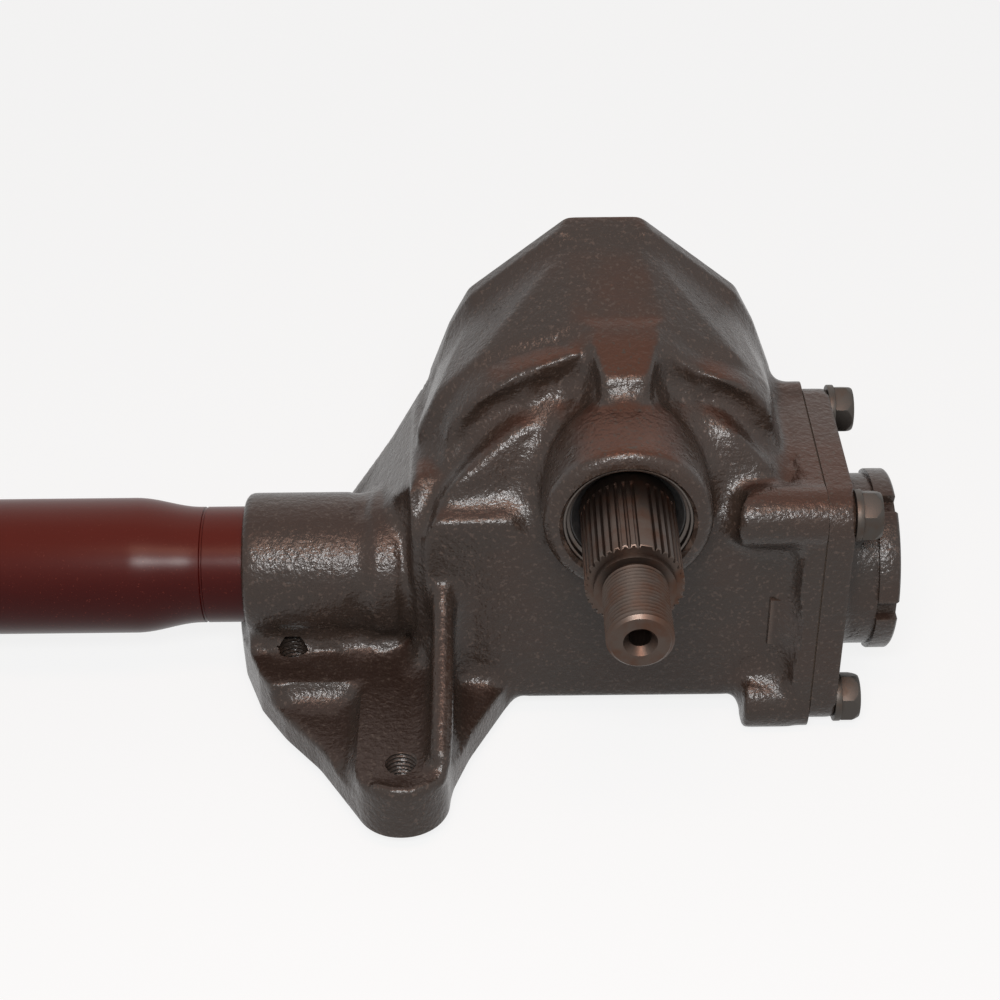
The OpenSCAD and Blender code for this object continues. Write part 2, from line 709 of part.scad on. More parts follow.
// Split spring washer on +Z, from 0
module lock_washer() difference() {
    cylinder(r = bolt_d/2 + 3.3, h = washer_thick);
    translate([0, 0, -past]) cylinder(r = bolt_d/2 + 0.2, h = washer_thick + 2*past);
    translate([0, 0, -past]) rotate([0, 0, 20]) cube([bolt_d, 0.9, washer_thick + 2*past]);
}

module on_end_cover(x) for (b = end_bolts) translate([x, b[0], b[1]]) rotate([0, 90, 0]) children();

module end_cover_bolts() color(bright_steel) part_frame() on_end_cover(end_face_x + washer_thick)
    hex_bolt(washer_thick + end_plate_thick + gasket_thick + bolt_reach - 2);

module end_cover_lock_washers() color(steel) part_frame() on_end_cover(end_face_x) lock_washer();

module worm_bearing_adjuster() color(steel) part_frame() difference() {
    bar_x(adjuster_left, adjuster_right, adjuster_r);
    bar_x(adjuster_left - past, cup_outer_x, cup_r + seat_gap);
    bar_x(cup_outer_x - past, cup_outer_x + 9, adjuster_bore_r);
    plate_x(adjuster_right - 6, adjuster_right + past) hexagon(22.2);
}

module adjuster_locknut() color(paint_brown) part_frame() difference() {
    turn_x() polygon([
        [adjuster_r + seat_gap, end_hub_x], [locknut_r, end_hub_x],
        [locknut_r, end_hub_x + locknut_thick - 0.8], [locknut_r - 0.8, end_hub_x + locknut_thick],
        [adjuster_r + seat_gap, end_hub_x + locknut_thick]]);
    for (i = [0 : locknut_notches - 1]) rotate([360*i/locknut_notches + 35, 0, 0])
        translate([end_hub_x - past, locknut_r - 4, -3.2]) cube([locknut_thick + 2*past, 8, 6.4]);
}

// Ball nut

// Rack on the nut: straight flanks about the pitch line
function rack_tooth(x) = let (
    top = tooth_pitch/4 - addendum*tan(pressure_angle),
    root = tooth_pitch/4 + (dedendum + past)*tan(pressure_angle)) [
        [x - root, rack_root - past], [x - top, rack_top],
        [x + top, rack_top], [x + root, rack_root - past]];

guide_legs = [for (k = [-2, 0]) [(k + 0.25)*lead, (k + 0.25 + circuit_turns)*lead]];

module nut_body() {
    intersection() {
        bar_x(-nut_length/2, nut_length/2, nut_limit_r);
        translate([-nut_length/2 - past, -nut_half_w, nut_bottom])
            cube([nut_length + 2*past, 2*nut_half_w, rack_root - nut_bottom]);
    }
    translate([-nut_length/2, -rack_half_w, 0]) cube([nut_length, 2*rack_half_w, rack_root]);
    intersection() {
        plate_y(-rack_half_w, rack_half_w)
            for (x = [-1.5, -0.5, 0.5, 1.5]) polygon(rack_tooth(x*tooth_pitch));
        translate([-nut_length/2, -rack_half_w - past, 0])
            cube([nut_length, 2*rack_half_w + 2*past, rack_top + past]);
    }
}

module ball_nut() color(steel) part_frame() difference() {
    nut_body();
    track_body(-nut_length/2 - past, nut_length/2 + past, 1, nut_bore_r);
    for (legs = guide_legs, i = [0, 1]) translate([legs[i], (1 - 2*i)*ball_circle_r, nut_bottom - past])
        cylinder(r = guide_r + seat_gap, h = -nut_bottom);
    translate([0, 0, nut_bottom - past]) cylinder(r = clamp_screw_r + seat_gap, h = 4 + past);
}

module nut_balls() color(bright_steel) part_frame() for (legs = guide_legs, i = [0 : circuit_balls - 1])
    translate(track_point(legs[0] + (legs[1] - legs[0])*i/(circuit_balls - 1))) sphere(r = nut_ball_r);

// One bent tube below the nut: two legs and the crossing between them
module guide_run(legs, r, top) {
    foot = [for (i = [0, 1]) [legs[i], (1 - 2*i)*ball_circle_r, guide_z]];
    across = foot[1] - foot[0];
    for (p = foot) {
        translate(p) cylinder(r = r, h = top - guide_z);
        translate(p) sphere(r = r + guide_bulge);
    }
    translate(foot[0]) rotate([0, 90, atan2(across[1], across[0])]) cylinder(r = r, h = norm(across));
}

module ball_guides() color(steel) part_frame() for (legs = guide_legs) difference() {
    guide_run(legs, guide_r, nut_bottom + 1);
    guide_run(legs, guide_bore_r, nut_bottom + 1 + past);
}

clamp_z = guide_z - guide_r - 0.05;
module guide_clamp() color(steel) part_frame() difference() {
    union() {
        translate([-clamp_length/2, -clamp_half_w, clamp_z - clamp_thick])
            cube([clamp_length, 2*clamp_half_w, clamp_thick]);
        translate([-2.9, -3, clamp_z - 0.5]) cube([5.8, 6, nut_bottom - clamp_z + 0.5]);
    }
    translate([0, 0, clamp_z - clamp_thick - past])
        cylinder(r = clamp_screw_r + seat_gap, h = nut_bottom - clamp_z + clamp_thick + 2*past);
}

module guide_clamp_screw() color(bright_steel) part_frame() translate([0, 0, clamp_z - clamp_thick]) {
    cylinder(r = clamp_screw_r, h = nut_bottom - clamp_z + clamp_thick + 3.5);
    translate([0, 0, -clamp_screw_head])
        cylinder(r1 = clamp_screw_r + 1, r2 = clamp_screw_r + 1.6, h = clamp_screw_head);
}

// Output shaft with its toothed sector

function inv(a) = tan(a)*180/PI - a;
function flank_half(r) = let (base_r = sector_pitch_r*cos(pressure_angle), a = acos(min(1, base_r/r)))
    90/sector_teeth - mesh_lash/sector_pitch_r*180/PI + inv(pressure_angle) - inv(a);
flank_points = 8;
function flank_r(i) = sector_root_r - 1 + (sector_tip_r - sector_root_r + 1)*i/flank_points;

function flank_point(i, side) = let (r = flank_r(i), a = flank_half(r)) r*[cos(a), side*sin(a)];

// One tooth that points along +X
module sector_tooth() polygon(concat(
    [for (i = [0 : flank_points]) flank_point(i, -1)],
    [for (i = [flank_points : -1 : 0]) flank_point(i, 1)]));

module sector_outline() {
    fan = tooth_step*(sector_side_teeth + 0.42);
    circle(sector_hub_r);
    intersection() {
        circle(sector_root_r);
        polygon([[0, 0], 40*[sin(-fan), -cos(fan)], [0, -60], 40*[sin(fan), -cos(fan)]]);
    }
    for (i = [-sector_side_teeth : sector_side_teeth]) rotate(i*tooth_step - 90) sector_tooth();
}

// Spline grooves with one blind spline left uncut
module spline_outline() difference() {
    circle(output_r);
    for (i = [1 : spline_count - 1]) rotate(360*i/spline_count + 78) {
        half = PI*output_r/spline_count;
        polygon([[output_r - spline_depth, -0.32*half], [output_r - spline_depth, 0.32*half],
                 [output_r + 1, 0.95*half], [output_r + 1, -0.95*half]]);
    }
}

module sector_shaft() color(steel) part_frame() at_sector() difference() {
    union() {
        rotate([-90, 0, 0]) rotate_extrude() polygon([
            [0, thread_end_y], [output_thread_d/2 - 1.3, thread_end_y],
            [output_thread_d/2, thread_end_y + 1.3], [output_thread_d/2, shoulder_y],
            [undercut_r, shoulder_y],
            [undercut_r, shoulder_y + undercut_length], [0, shoulder_y + undercut_length]]);
        plate_y(shoulder_y + undercut_length - 0.01, spline_start_y) spline_outline();
        bar_y(spline_start_y - 0.01, 0, output_r);
        plate_y(-tooth_width/2, tooth_width/2) sector_outline();
        bar_y(0, rear_journal_end, rear_journal_r);
    }
    // centre hole with its countersink
    bar_y(thread_end_y - past, thread_end_y + 9, centre_hole_d/2 - 1.6);
    rotate([-90, 0, 0]) translate([0, 0, thread_end_y - 0.01])
        cylinder(r1 = centre_hole_d/2, r2 = centre_hole_d/2 - 1.6, h = 2.4);
    // T-slot for the lash screw
    translate([-40, lash_head_y - 0.3, -lash_head_r - 0.4])
        cube([40 + lash_head_r + 0.4, lash_head_thick + lash_shim_thick + 0.6, 2*lash_head_r + 0.8]);
    translate([-40, lash_head_y, -lash_d/2 - 0.4]) cube([40 + lash_d/2 + 0.4, 40, lash_d + 0.8]);
}

// Fits of the output shaft in the housing

module sector_bushing(y0) color(bronze) part_frame() turn_y()
    ring_profile(output_r + running_gap, bushing_r, y0, y0 + bushing_length);
module sector_bushing_outer() sector_bushing(-boss_face + seal_set_back + seal_depth);
module sector_bushing_inner() sector_bushing(sector_room_front - bushing_length);

seal_front = -boss_face + seal_set_back;
seal_back = seal_front + seal_depth;
spring_r = 0.7;
spring_place = [output_r + 2.4, seal_back - 1.6];
module sector_seal_case() color(steel) part_frame() turn_y() {
    ring_profile(seal_r - 1.1, seal_r, seal_front, seal_back);
    ring_profile(output_r + 2.9, seal_r - 1, seal_front + 2, seal_front + 3.1);
}

module sector_seal_lip() color(rubber) part_frame() turn_y() difference() {
    polygon([
        [output_r + 2.5, seal_front + 3.1], [seal_r - 1.1, seal_front + 3.1], [seal_r - 1.1, seal_back],
        [seal_r - 2.3, seal_back], [seal_r - 2.3, seal_front + 5], [output_r + 2.6, seal_front + 5],
        [output_r + 1.2, seal_back - 0.6], [output_r + running_gap, seal_back - 1.6]]);
    translate(spring_place) circle(spring_r + 0.2);
}

module seal_spring() color(bright_steel) part_frame() turn_y()
    translate(spring_place) circle(spring_r);

// Side cover and lash adjuster

module side_outline() difference() {
    polygon(cover_outline(cover_margin));
    for (b = side_bolts) translate(b) circle(bolt_d/2 + 0.3);
}

module side_cover() color(paint_brown) part_frame() difference() {
    union() {
        plate_y(side_cover_y, side_face_y) side_outline();
        at_sector() bar_y(spigot_front, side_cover_y + past, spigot_r);
        turn_y() polygon([
            [0, side_face_y - past], [side_hub_r + 2, side_face_y - past], [side_hub_r + 2, side_face_y],
            [side_hub_r, side_face_y + 1.5], [side_hub_r - 1, side_hub_y], [0, side_hub_y]]);
    }
    at_sector() {
        bar_y(spigot_front - past, side_cover_y, side_bushing_r + seat_gap);
        bar_y(side_cover_y - past, side_hub_y + past, lash_d/2 + seat_gap);
    }
}

module side_cover_gasket() color(paper) part_frame() plate_y(cover_joint, side_cover_y) difference() {
    side_outline();
    translate([0, centre_distance]) circle(sector_room_r);
}

module on_side_cover(y) for (b = side_bolts) translate([b[0], y, b[1]]) rotate([-90, 0, 0]) children();

module side_cover_bolts() color(bright_steel) part_frame() on_side_cover(side_face_y + washer_thick)
    hex_bolt(washer_thick + side_plate_thick + gasket_thick + side_bolt_reach - 2);

module side_cover_lock_washers() color(steel) part_frame() on_side_cover(side_face_y) lock_washer();

module side_cover_bushing() color(bronze) part_frame() turn_y()
    ring_profile(rear_journal_r + running_gap, side_bushing_r, spigot_front, side_cover_y);

module lash_screw() color(steel) part_frame() at_sector() difference() {
    union() {
        bar_y(lash_head_y + lash_shim_thick, lash_head_y + lash_shim_thick + lash_head_thick, lash_head_r);
        bar_y(lash_head_y + lash_shim_thick + 1, lash_end_y, lash_d/2);
    }
    // screwdriver slot
    translate([-lash_d, lash_end_y - 2.5, -0.8]) cube([2*lash_d, 2.5 + past, 1.6]);
}

module lash_shim() color(bright_steel) part_frame() at_sector()
    bar_y(lash_head_y, lash_head_y + lash_shim_thick, lash_head_r);

module lash_locknut() color(bright_steel) part_frame() at_sector() difference() {
    intersection() {
        plate_y(side_hub_y, side_hub_y + lash_nut_thick) hexagon(lash_nut_flats);
        rotate([-90, 0, 0]) translate([0, 0, side_hub_y])
            cylinder(r1 = lash_nut_flats/2 + 3, r2 = lash_nut_flats/2 - 0.2, h = lash_nut_thick);
    }
    bar_y(side_hub_y - past, side_hub_y + lash_nut_thick + past, lash_d/2 + seat_gap);
}

gear_housing();
jacket_tube();
jacket_bush();
end_cover();
end_cover_gasket();
end_cover_bolts();
end_cover_lock_washers();
worm_bearing_adjuster();
adjuster_locknut();
upper_bearing_cup();
lower_bearing_cup();
worm_seal();
sector_bushing_outer();
sector_bushing_inner();
sector_seal_case();
sector_seal_lip();
seal_spring();
side_cover();
side_cover_gasket();
side_cover_bolts();
side_cover_lock_washers();
side_cover_bushing();
lash_screw();
lash_shim();
lash_locknut();
steering_shaft();
worm();
upper_bearing_balls();
upper_bearing_cage();
lower_bearing_balls();
lower_bearing_cage();
ball_nut();
nut_balls();
ball_guides();
guide_clamp();
guide_clamp_screw();
sector_shaft();
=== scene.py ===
# %% [markdown]
# # Steering gearbox
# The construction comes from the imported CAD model, which already has every piece at its real size and in its
# place. This lesson gives that model its looks: the skin of a sand casting, cut threads, eased edges, paint and
# steel. The first cell loads the frame and keeps the size of the CAD model, because the looks must not outgrow it.

# %% Load the frame
import bpy, bmesh, json, math
from mathutils import Matrix, Vector


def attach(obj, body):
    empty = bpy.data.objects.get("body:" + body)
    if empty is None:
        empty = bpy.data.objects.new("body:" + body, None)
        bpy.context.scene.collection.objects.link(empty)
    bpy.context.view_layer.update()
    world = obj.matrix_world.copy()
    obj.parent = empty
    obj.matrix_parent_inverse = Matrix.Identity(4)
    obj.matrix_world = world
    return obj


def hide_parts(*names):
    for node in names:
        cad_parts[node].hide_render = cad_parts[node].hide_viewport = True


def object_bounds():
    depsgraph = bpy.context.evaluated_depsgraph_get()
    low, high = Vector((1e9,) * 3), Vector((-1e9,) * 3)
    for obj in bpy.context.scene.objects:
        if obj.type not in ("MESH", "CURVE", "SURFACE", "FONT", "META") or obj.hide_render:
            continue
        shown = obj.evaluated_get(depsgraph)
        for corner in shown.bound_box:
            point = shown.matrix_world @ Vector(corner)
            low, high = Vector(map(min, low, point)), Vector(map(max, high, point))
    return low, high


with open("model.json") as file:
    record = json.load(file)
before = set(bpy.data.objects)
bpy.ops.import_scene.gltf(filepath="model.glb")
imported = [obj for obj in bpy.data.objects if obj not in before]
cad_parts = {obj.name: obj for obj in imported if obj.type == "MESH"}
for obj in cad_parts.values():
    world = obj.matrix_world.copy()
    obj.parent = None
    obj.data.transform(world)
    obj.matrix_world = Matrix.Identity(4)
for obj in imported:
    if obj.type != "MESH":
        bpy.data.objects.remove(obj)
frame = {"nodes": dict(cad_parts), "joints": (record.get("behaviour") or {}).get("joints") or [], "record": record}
cad_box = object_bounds()
scene = bpy.context.scene
print("CAD box", [[round(v, 4) for v in corner] for corner in cad_box])

# %% [markdown]
# The gearbox is easiest to think of in millimetres about its worm, as its drawings are: X runs along the worm, Z
# is up and the output shaft crosses at X = 0. The frame's record says where the worm's joint lies, so one small
# function turns such a place into Blender's metres, and it stays right if the CAD model is changed.

# %% Places on the gearbox
MM = 0.001
joints = {joint["name"]: joint for joint in frame["joints"]}
worm_axis = Vector(joints["worm_turn"]["pos_m"])
deck = -worm_axis.z/MM

def place(x, y, z):
    return worm_axis + Vector((x, y, z))*MM

print("worm axis", tuple(round(v, 4) for v in worm_axis), "sector axis", round(deck, 2), "mm above it")

# %% [markdown]
# The photograph was taken from in front and well above, with the housing to the right of the middle. Camera
# position, pitch and the small roll were found by laying the CAD edges over the photograph. A matrix is used
# instead of Euler angles, because the roll has to turn the camera about its own viewing axis.

# %% Camera
camera_data = bpy.data.cameras.new("camera")
camera_data.sensor_width = 36
camera_data.lens = 70.92
camera = bpy.data.objects.new("camera", camera_data)
scene.collection.objects.link(camera)
camera.matrix_world = (Matrix.Translation(place(-38, -518, 393)) @ Matrix.Rotation(math.radians(54.64), 4, "X")
                       @ Matrix.Rotation(math.radians(-0.60), 4, "Z"))
camera_data.shift_y = -0.0015
camera_data.clip_start, camera_data.clip_end = 0.01, 20
scene.camera = camera
print("camera at", tuple(round(v, 3) for v in camera.location))

# %% [markdown]
# Studio. The bright streaks in the photograph lie on faces that look at the camera, so the main lamp was close to
# it and a little higher. Above each streak lies a copper one, so a second, warm lamp stands higher up. A wide lamp
# behind draws the upper edges, and a weak fill keeps the right side readable.

# %% Floor and lamps
def stage_floor(height):
    bm = bmesh.new()
    bmesh.ops.create_grid(bm, x_segments=1, y_segments=1, size=6, matrix=Matrix.Translation((0, 0, height)))
    mesh = bpy.data.meshes.new("floor")
    bm.to_mesh(mesh)
    bm.free()
    floor = bpy.data.objects.new("floor", mesh)
    scene.collection.objects.link(floor)
    return floor

floor = stage_floor(cad_box[0].z - 0.0005)

def soft_box(name, where, target, width, height, watts, colour=(1, 1, 1)):
    lamp = bpy.data.lights.new(name, "AREA")
    lamp.shape, lamp.size, lamp.size_y, lamp.energy, lamp.color = "ELLIPSE", width, height, watts, colour
    holder = bpy.data.objects.new(name, lamp)
    holder.location = where
    holder.rotation_euler = (Vector(where) - Vector(target)).to_track_quat("Z", "Y").to_euler()
    scene.collection.objects.link(holder)
    return holder

subject = place(-30, -10, 20)
soft_box("key_soft_box", place(-50, -480, 450), subject, 0.27, 0.09, 3.0)
soft_box("fill_soft_box", place(700, -400, 600), subject, 0.9, 0.9, 0.5)
soft_box("warm_soft_box", place(-40, -330, 640), subject, 0.45, 0.15, 1.6, (1.0, 0.55, 0.38))
soft_box("rear_soft_box", place(-60, 760, 620), subject, 1.2, 1.2, 1.4, (1.0, 0.80, 0.70))
scene.view_settings.view_transform = "Standard"

# %% [markdown]
# Materials are node graphs, and long graphs are hard to read as node calls. This class wraps one socket, so that
# an expression such as 0.3 + 0.2*grain adds the Math nodes by itself. Every other kind of node comes from the
# method node, which sets the node's own settings first and then fills or links its sockets.

# %% Shader sums
class Wire:
    def __init__(self, tree, socket=None):
        self.tree, self.socket = tree, socket

    def node(self, kind, settings=None, inputs=None, output=0):
        made = self.tree.nodes.new("ShaderNode" + kind)
        for name, value in (settings or {}).items():
            if name == "stops":
                ramp = made.color_ramp
                while len(ramp.elements) < len(value):
                    ramp.elements.new(0.5)
                for element, (position, colour) in zip(ramp.elements, value):
                    element.position, element.color = position, (*colour, 1)
            else:
                setattr(made, name, value)
        for name, value in (inputs or {}).items():
            if isinstance(value, Wire):
                self.tree.links.new(value.socket, made.inputs[name])
            else:
                made.inputs[name].default_value = value
        return Wire(self.tree, made.outputs[output] if made.outputs else None)

    def sum(self, operation, first, second):
        return self.node("Math", {"operation": operation}, {0: first, 1: second})

    def __add__(self, other): return self.sum("ADD", self, other)
    def __radd__(self, other): return self.sum("ADD", other, self)
    def __sub__(self, other): return self.sum("SUBTRACT", self, other)
    def __rsub__(self, other): return self.sum("SUBTRACT", other, self)
    def __mul__(self, other): return self.sum("MULTIPLY", self, other)
    def __rmul__(self, other): return self.sum("MULTIPLY", other, self)

    def between(self, low, high):
        """0 below low, 1 above high, smooth in between."""
        return self.node("MapRange", {"interpolation_type": "SMOOTHSTEP"},
                         {"Value": self, "From Min": low, "From Max": high})

    def colours(self, first, second):
        """A mix of two colours, with this value as the factor."""
        return self.node("Mix", {"data_type": "RGBA"}, {0: self, 6: pigment(first), 7: pigment(second)}, output=2)

def pigment(colour):
    return colour if isinstance(colour, Wire) else (*colour, 1)

print("shader sums ready")

# %% [markdown]
# The floor and the world share one idea: the white background is only painted where the camera or a reflection
# looks at it. Light Path tells which kind of ray asks. The floor keeps a little of its real diffuse shading, so
# that the soft shadow under the casting stays.

# %% Background
def seen_directly(wire):
    path = wire.node("LightPath")
    outs = {o.name: Wire(wire.tree, o) for o in path.socket.node.outputs}
    return wire.sum("MINIMUM", outs["Is Camera Ray"] + outs["Is Glossy Ray"] + outs["Is Transmission Ray"], 1.0)

world = bpy.data.worlds.new("studio")
world.use_nodes = True
scene.world = world
world.node_tree.nodes.clear()
sky = Wire(world.node_tree)
shown = sky.node("Background", inputs={"Color": (1, 1, 1, 1), "Strength": 0.24 + 0.76*seen_directly(sky)})
sky.node("OutputWorld", inputs={"Surface": shown})

floor_paint = bpy.data.materials.new("floor_white")
floor_paint.use_nodes = True
floor_paint.node_tree.nodes.clear()
ground = Wire(floor_paint.node_tree)
matt = ground.node("BsdfDiffuse", inputs={"Color": (0.52, 0.52, 0.52, 1)})
glow = ground.node("Emission", inputs={"Color": (1, 1, 1, 1), "Strength": 1.05})
lit = ground.node("MixShader", inputs={0: 0.80*seen_directly(ground), 1: matt, 2: glow})
ground.node("OutputMaterial", inputs={"Surface": lit})
floor.data.materials.append(floor_paint)
print("floor and world are set")

# %% Finishes
def finish(name, recipe):
    material = bpy.data.materials.new(name)
    material.use_nodes = True
    tree = material.node_tree
    tree.nodes.clear()
    wire = Wire(tree)
    where = wire.node("TexCoord", output=3)
    shader = wire.node("BsdfPrincipled", inputs=recipe(where))
    wire.node("OutputMaterial", inputs={"Surface": shader})
    return material

def grain(where, per_metre, detail=2.0, roughness=0.5):
    return where.node("TexNoise", inputs={"Vector": where, "Scale": per_metre, "Detail": detail,
                                          "Roughness": roughness})

def bumped(height, millimetres, strength=1.0):
    return height.node("Bump", inputs={"Height": height, "Distance": millimetres*MM, "Strength": strength})

print("finish helpers ready")

# %% [markdown]
# Casting paint. The housing was sand cast and then sprayed with a thin dark paint, so the sand's grain shows
# through the gloss: that grain breaks each highlight into sparks. Two noises make it, a fine one for the sand and
# a coarser one for its lumps. Faces that look up, which the normal's height tells, get a painted copper reflection:
# a copper-brown colour that shines like metal, most of all high up around the output shaft and towards the front.
# Pointiness finds the outer edges, where the paint wears thin, and the hollow corners, which get painted shade with
# some grime, darker and rougher.

# %% Casting paint
def casting_paint(where):
    drift = grain(where, 34, 3, 0.55).between(0.40, 0.68)
    speck = grain(where, 850, 1).between(0.58, 0.73)
    sand = grain(where, 620, 2, 0.6)
    lumps = grain(where, 230, 2)
    facing = where.node("SeparateXYZ", inputs={0: where.node("NewGeometry", output=1)}, output=2)
    front = where.node("SeparateXYZ", inputs={0: where}, output=1).between(place(0, 4, 0).y, place(0, -9, 0).y)
    high = where.node("SeparateXYZ", inputs={0: where}, output=2).between(place(0, 0, 15).z, place(0, 0, 75).z)
    point = where.node("NewGeometry", output=7)
    # Painted copper reflection: faces that look up get a copper colour and a metal shine, more so high up and
    # towards the front.
    painted_copper_reflection = (facing + 0.05*drift + 0.05*lumps + 0.13*front).between(0.90, 1.14)
    edge = (point + 0.05*lumps).between(0.555, 0.64)
    # Painted shade in the hollow corners, with some grime: darker and rougher where pointiness is low.
    hollow_shade_and_grime = (point + 0.04*lumps).between(0.485, 0.44)
    colour = drift.colours((0.0270, 0.0195, 0.0155), (0.0305, 0.0195, 0.0145))
    colour = painted_copper_reflection.colours(colour, high.colours((0.032, 0.020, 0.0155), (0.072, 0.033, 0.022)))
    colour = speck.colours(colour, (0.058, 0.042, 0.034))
    colour = edge.colours(colour, (0.064, 0.047, 0.038))
    colour = hollow_shade_and_grime.colours(colour, (0.0100, 0.0075, 0.0060))
    rough = 0.20 + 0.16*lumps + 0.20*hollow_shade_and_grime + 0.06*painted_copper_reflection
    return {"Base Color": colour, "Roughness": rough, "Metallic": painted_copper_reflection*(0.3 + 0.5*high),
            "Specular IOR Level": 0.34, "Normal": bumped(0.60*sand + 0.40*lumps, 0.55)}

casting = finish("casting_paint", casting_paint)
print(casting.name)

# %% [markdown]
# The column jacket is smooth drawn tube under oxide-red paint. Paint on a tube only shows a faint orange peel and
# a slow change of tone, so its bump is weak and its highlight stays one soft band. Its colour is darker on the
# faces
# that look down: painted shade, as if lit from above.

# %% Oxide-red paint
def red_paint(where):
    peel = grain(where, 480, 2)
    tone = grain(where, 24, 3)
    dust = grain(where, 1500, 1).between(0.66, 0.78)
    facing = where.node("SeparateXYZ", inputs={0: where.node("NewGeometry", output=1)}, output=2)
    # Painted shade: faces that look down get the darker red.
    colour = (facing + 0.10*tone).between(0.15, 1.3).colours((0.032, 0.0010, 0.0005), (0.079, 0.0088, 0.0040))
    colour = dust.colours(colour, (0.090, 0.016, 0.010))
    return {"Base Color": colour, "Roughness": 0.28 + 0.06*tone, "Specular IOR Level": 0.15,
            "Normal": bumped(peel, 0.03, 0.5)}

red = finish("oxide_red_paint", red_paint)
print(red.name)

# %% [markdown]
# Bare steels. Turned steel carries fine marks, and an old shaft has a warm brown bloom between its splines. One
# recipe serves all of them: the colour, how rough it is, and how much of the bloom it shows.

# %% Steels
def steel(tone, rough, bloom, bloom_share):
    def recipe(where):
        marks = grain(where, 1400, 2)
        stain = grain(where, 130, 3, 0.6).between(0.62 - 0.35*bloom_share, 0.80)
        colour = stain.colours(tone, bloom)
        return {"Base Color": colour, "Metallic": 1.0, "Roughness": rough + 0.12*marks + 0.10*stain,
                "Normal": bumped(marks, 0.02, 0.5)}
    return recipe

shaft_steel = finish("shaft_steel", steel((0.086, 0.067, 0.057), 0.34, (0.080, 0.040, 0.026), 0.75))
machined_steel = finish("machined_steel", steel((0.12, 0.105, 0.095), 0.34, (0.11, 0.07, 0.05), 0.3))
bolt_steel = finish("bolt_steel", steel((0.072, 0.065, 0.059), 0.40, (0.072, 0.052, 0.041), 0.45))
bright_steel = finish("bright_steel", steel((0.55, 0.54, 0.52), 0.16, (0.45, 0.42, 0.38), 0.1))
bronze = finish("bronze", steel((0.45, 0.27, 0.10), 0.32, (0.30, 0.16, 0.06), 0.3))
print([m.name for m in (shaft_steel, machined_steel, bolt_steel, bright_steel, bronze)])

# %% [markdown]
# Rubber, gasket paper and nylon are hidden almost completely, but each still gets the grain that it would show
# when the gearbox is opened.

# %% Soft and fibre finishes
def plain(dark, light, per_metre, rough, depth):
    def recipe(where):
        fibre = grain(where, per_metre, 3)
        return {"Base Color": fibre.between(0.3, 0.7).colours(dark, light), "Roughness": rough + 0.1*fibre,
                "Normal": bumped(fibre, depth)}
    return recipe

rubber = finish("seal_rubber", plain((0.012, 0.012, 0.012), (0.022, 0.022, 0.022), 700, 0.42, 0.03))
paper = finish("gasket_paper", plain((0.020, 0.014, 0.010), (0.045, 0.030, 0.019), 1500, 0.75, 0.05))
nylon = finish("nylon", plain((0.55, 0.52, 0.44), (0.66, 0.63, 0.55), 300, 0.40, 0.02))
print([m.name for m in (rubber, paper, nylon)])

# %% [markdown]
# Every CAD node takes the finish of its material slot in the record. Nodes that get a finer stand-in below hand
# their slot on to it.

# %% Dress the CAD nodes
finishes = {"casting_paint": casting, "oxide_red_paint": red, "machined_steel": machined_steel,
            "shaft_steel": shaft_steel, "bolt_steel": bolt_steel, "bright_steel": bright_steel, "bronze": bronze,
            "seal_rubber": rubber, "gasket_paper": paper, "nylon": nylon}
slots = {part["node"]: part["material_slot"] for part in frame["record"]["subparts"]}
bodies = {node: body for body, nodes in frame["record"]["behaviour"]["bodies"].items() for node in nodes}
for name, node in frame["nodes"].items():
    node.data.materials.clear()
    node.data.materials.append(finishes[slots[name]])
print(len(slots), "nodes dressed")

# %% [markdown]
# The finer pieces are all made in the same few moves: copy a CAD node's mesh and merge its loose triangles, add or
# cut shapes with a Boolean modifier, and keep the result as a new mesh. These helpers do that. Vertices closer than
# same_place, in metres, become one. Sharp edges are marked by angle, so that turned edges stay crisp while cast
# faces shade smoothly.

# %% Piece helpers
same_place = 1e-6

def piece(bm, name):
    mesh = bpy.data.meshes.new(name)
    bm.to_mesh(mesh)
    bm.free()
    made = bpy.data.objects.new(name, mesh)
    scene.collection.objects.link(made)
    return made

def cad_copy(node):
    bm = bmesh.new()
    bm.from_mesh(frame["nodes"][node].data)
    bmesh.ops.remove_doubles(bm, verts=bm.verts, dist=same_place)
    return bm

def with_modifier(base, kind, **settings):
    change = base.modifiers.new(kind.lower(), kind)
    for name, value in settings.items():
        setattr(change, name, value)
    result = bpy.data.meshes.new_from_object(base.evaluated_get(bpy.context.evaluated_depsgraph_get()))
    base.modifiers.clear()
    old, base.data = base.data, result
    bpy.data.meshes.remove(old)
    return base

def joined(base, tool, operation):
    with_modifier(base, "BOOLEAN", object=tool, operation=operation, solver="MANIFOLD")
    spent = tool.data
    bpy.data.objects.remove(tool)
    bpy.data.meshes.remove(spent)
    return base

def smooth_by_angle(made, degrees):
    bm = bmesh.new()
    bm.from_mesh(made.data)
    for face in bm.faces:
        face.smooth = True
    for edge in bm.edges:
        edge.smooth = edge.calc_face_angle(0) < math.radians(degrees)
    bm.to_mesh(made.data)
    bm.free()

def hand_over(made, *nodes, degrees=30):
    smooth_by_angle(made, degrees)
    made.data.materials.clear()
    made.data.materials.append(finishes[slots[nodes[0]]])
    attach(made, bodies[nodes[0]])
    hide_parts(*nodes)
    print(made.name, "stands for", nodes, "with", len(made.data.polygons), "faces")
    return made

# %% [markdown]
# Rods are the commonest tool here: a drill, a plug, a turned face. create_cone draws one along Z, and laid() gives
# the matrix that lays it between two points. Its far radius can differ, which gives countersinks. Blocks serve as
# milling cutters.

# %% Rods and blocks
def laid(at, along):
    return Matrix.Translation(at) @ along.to_track_quat("Z", "Y").to_matrix().to_4x4()

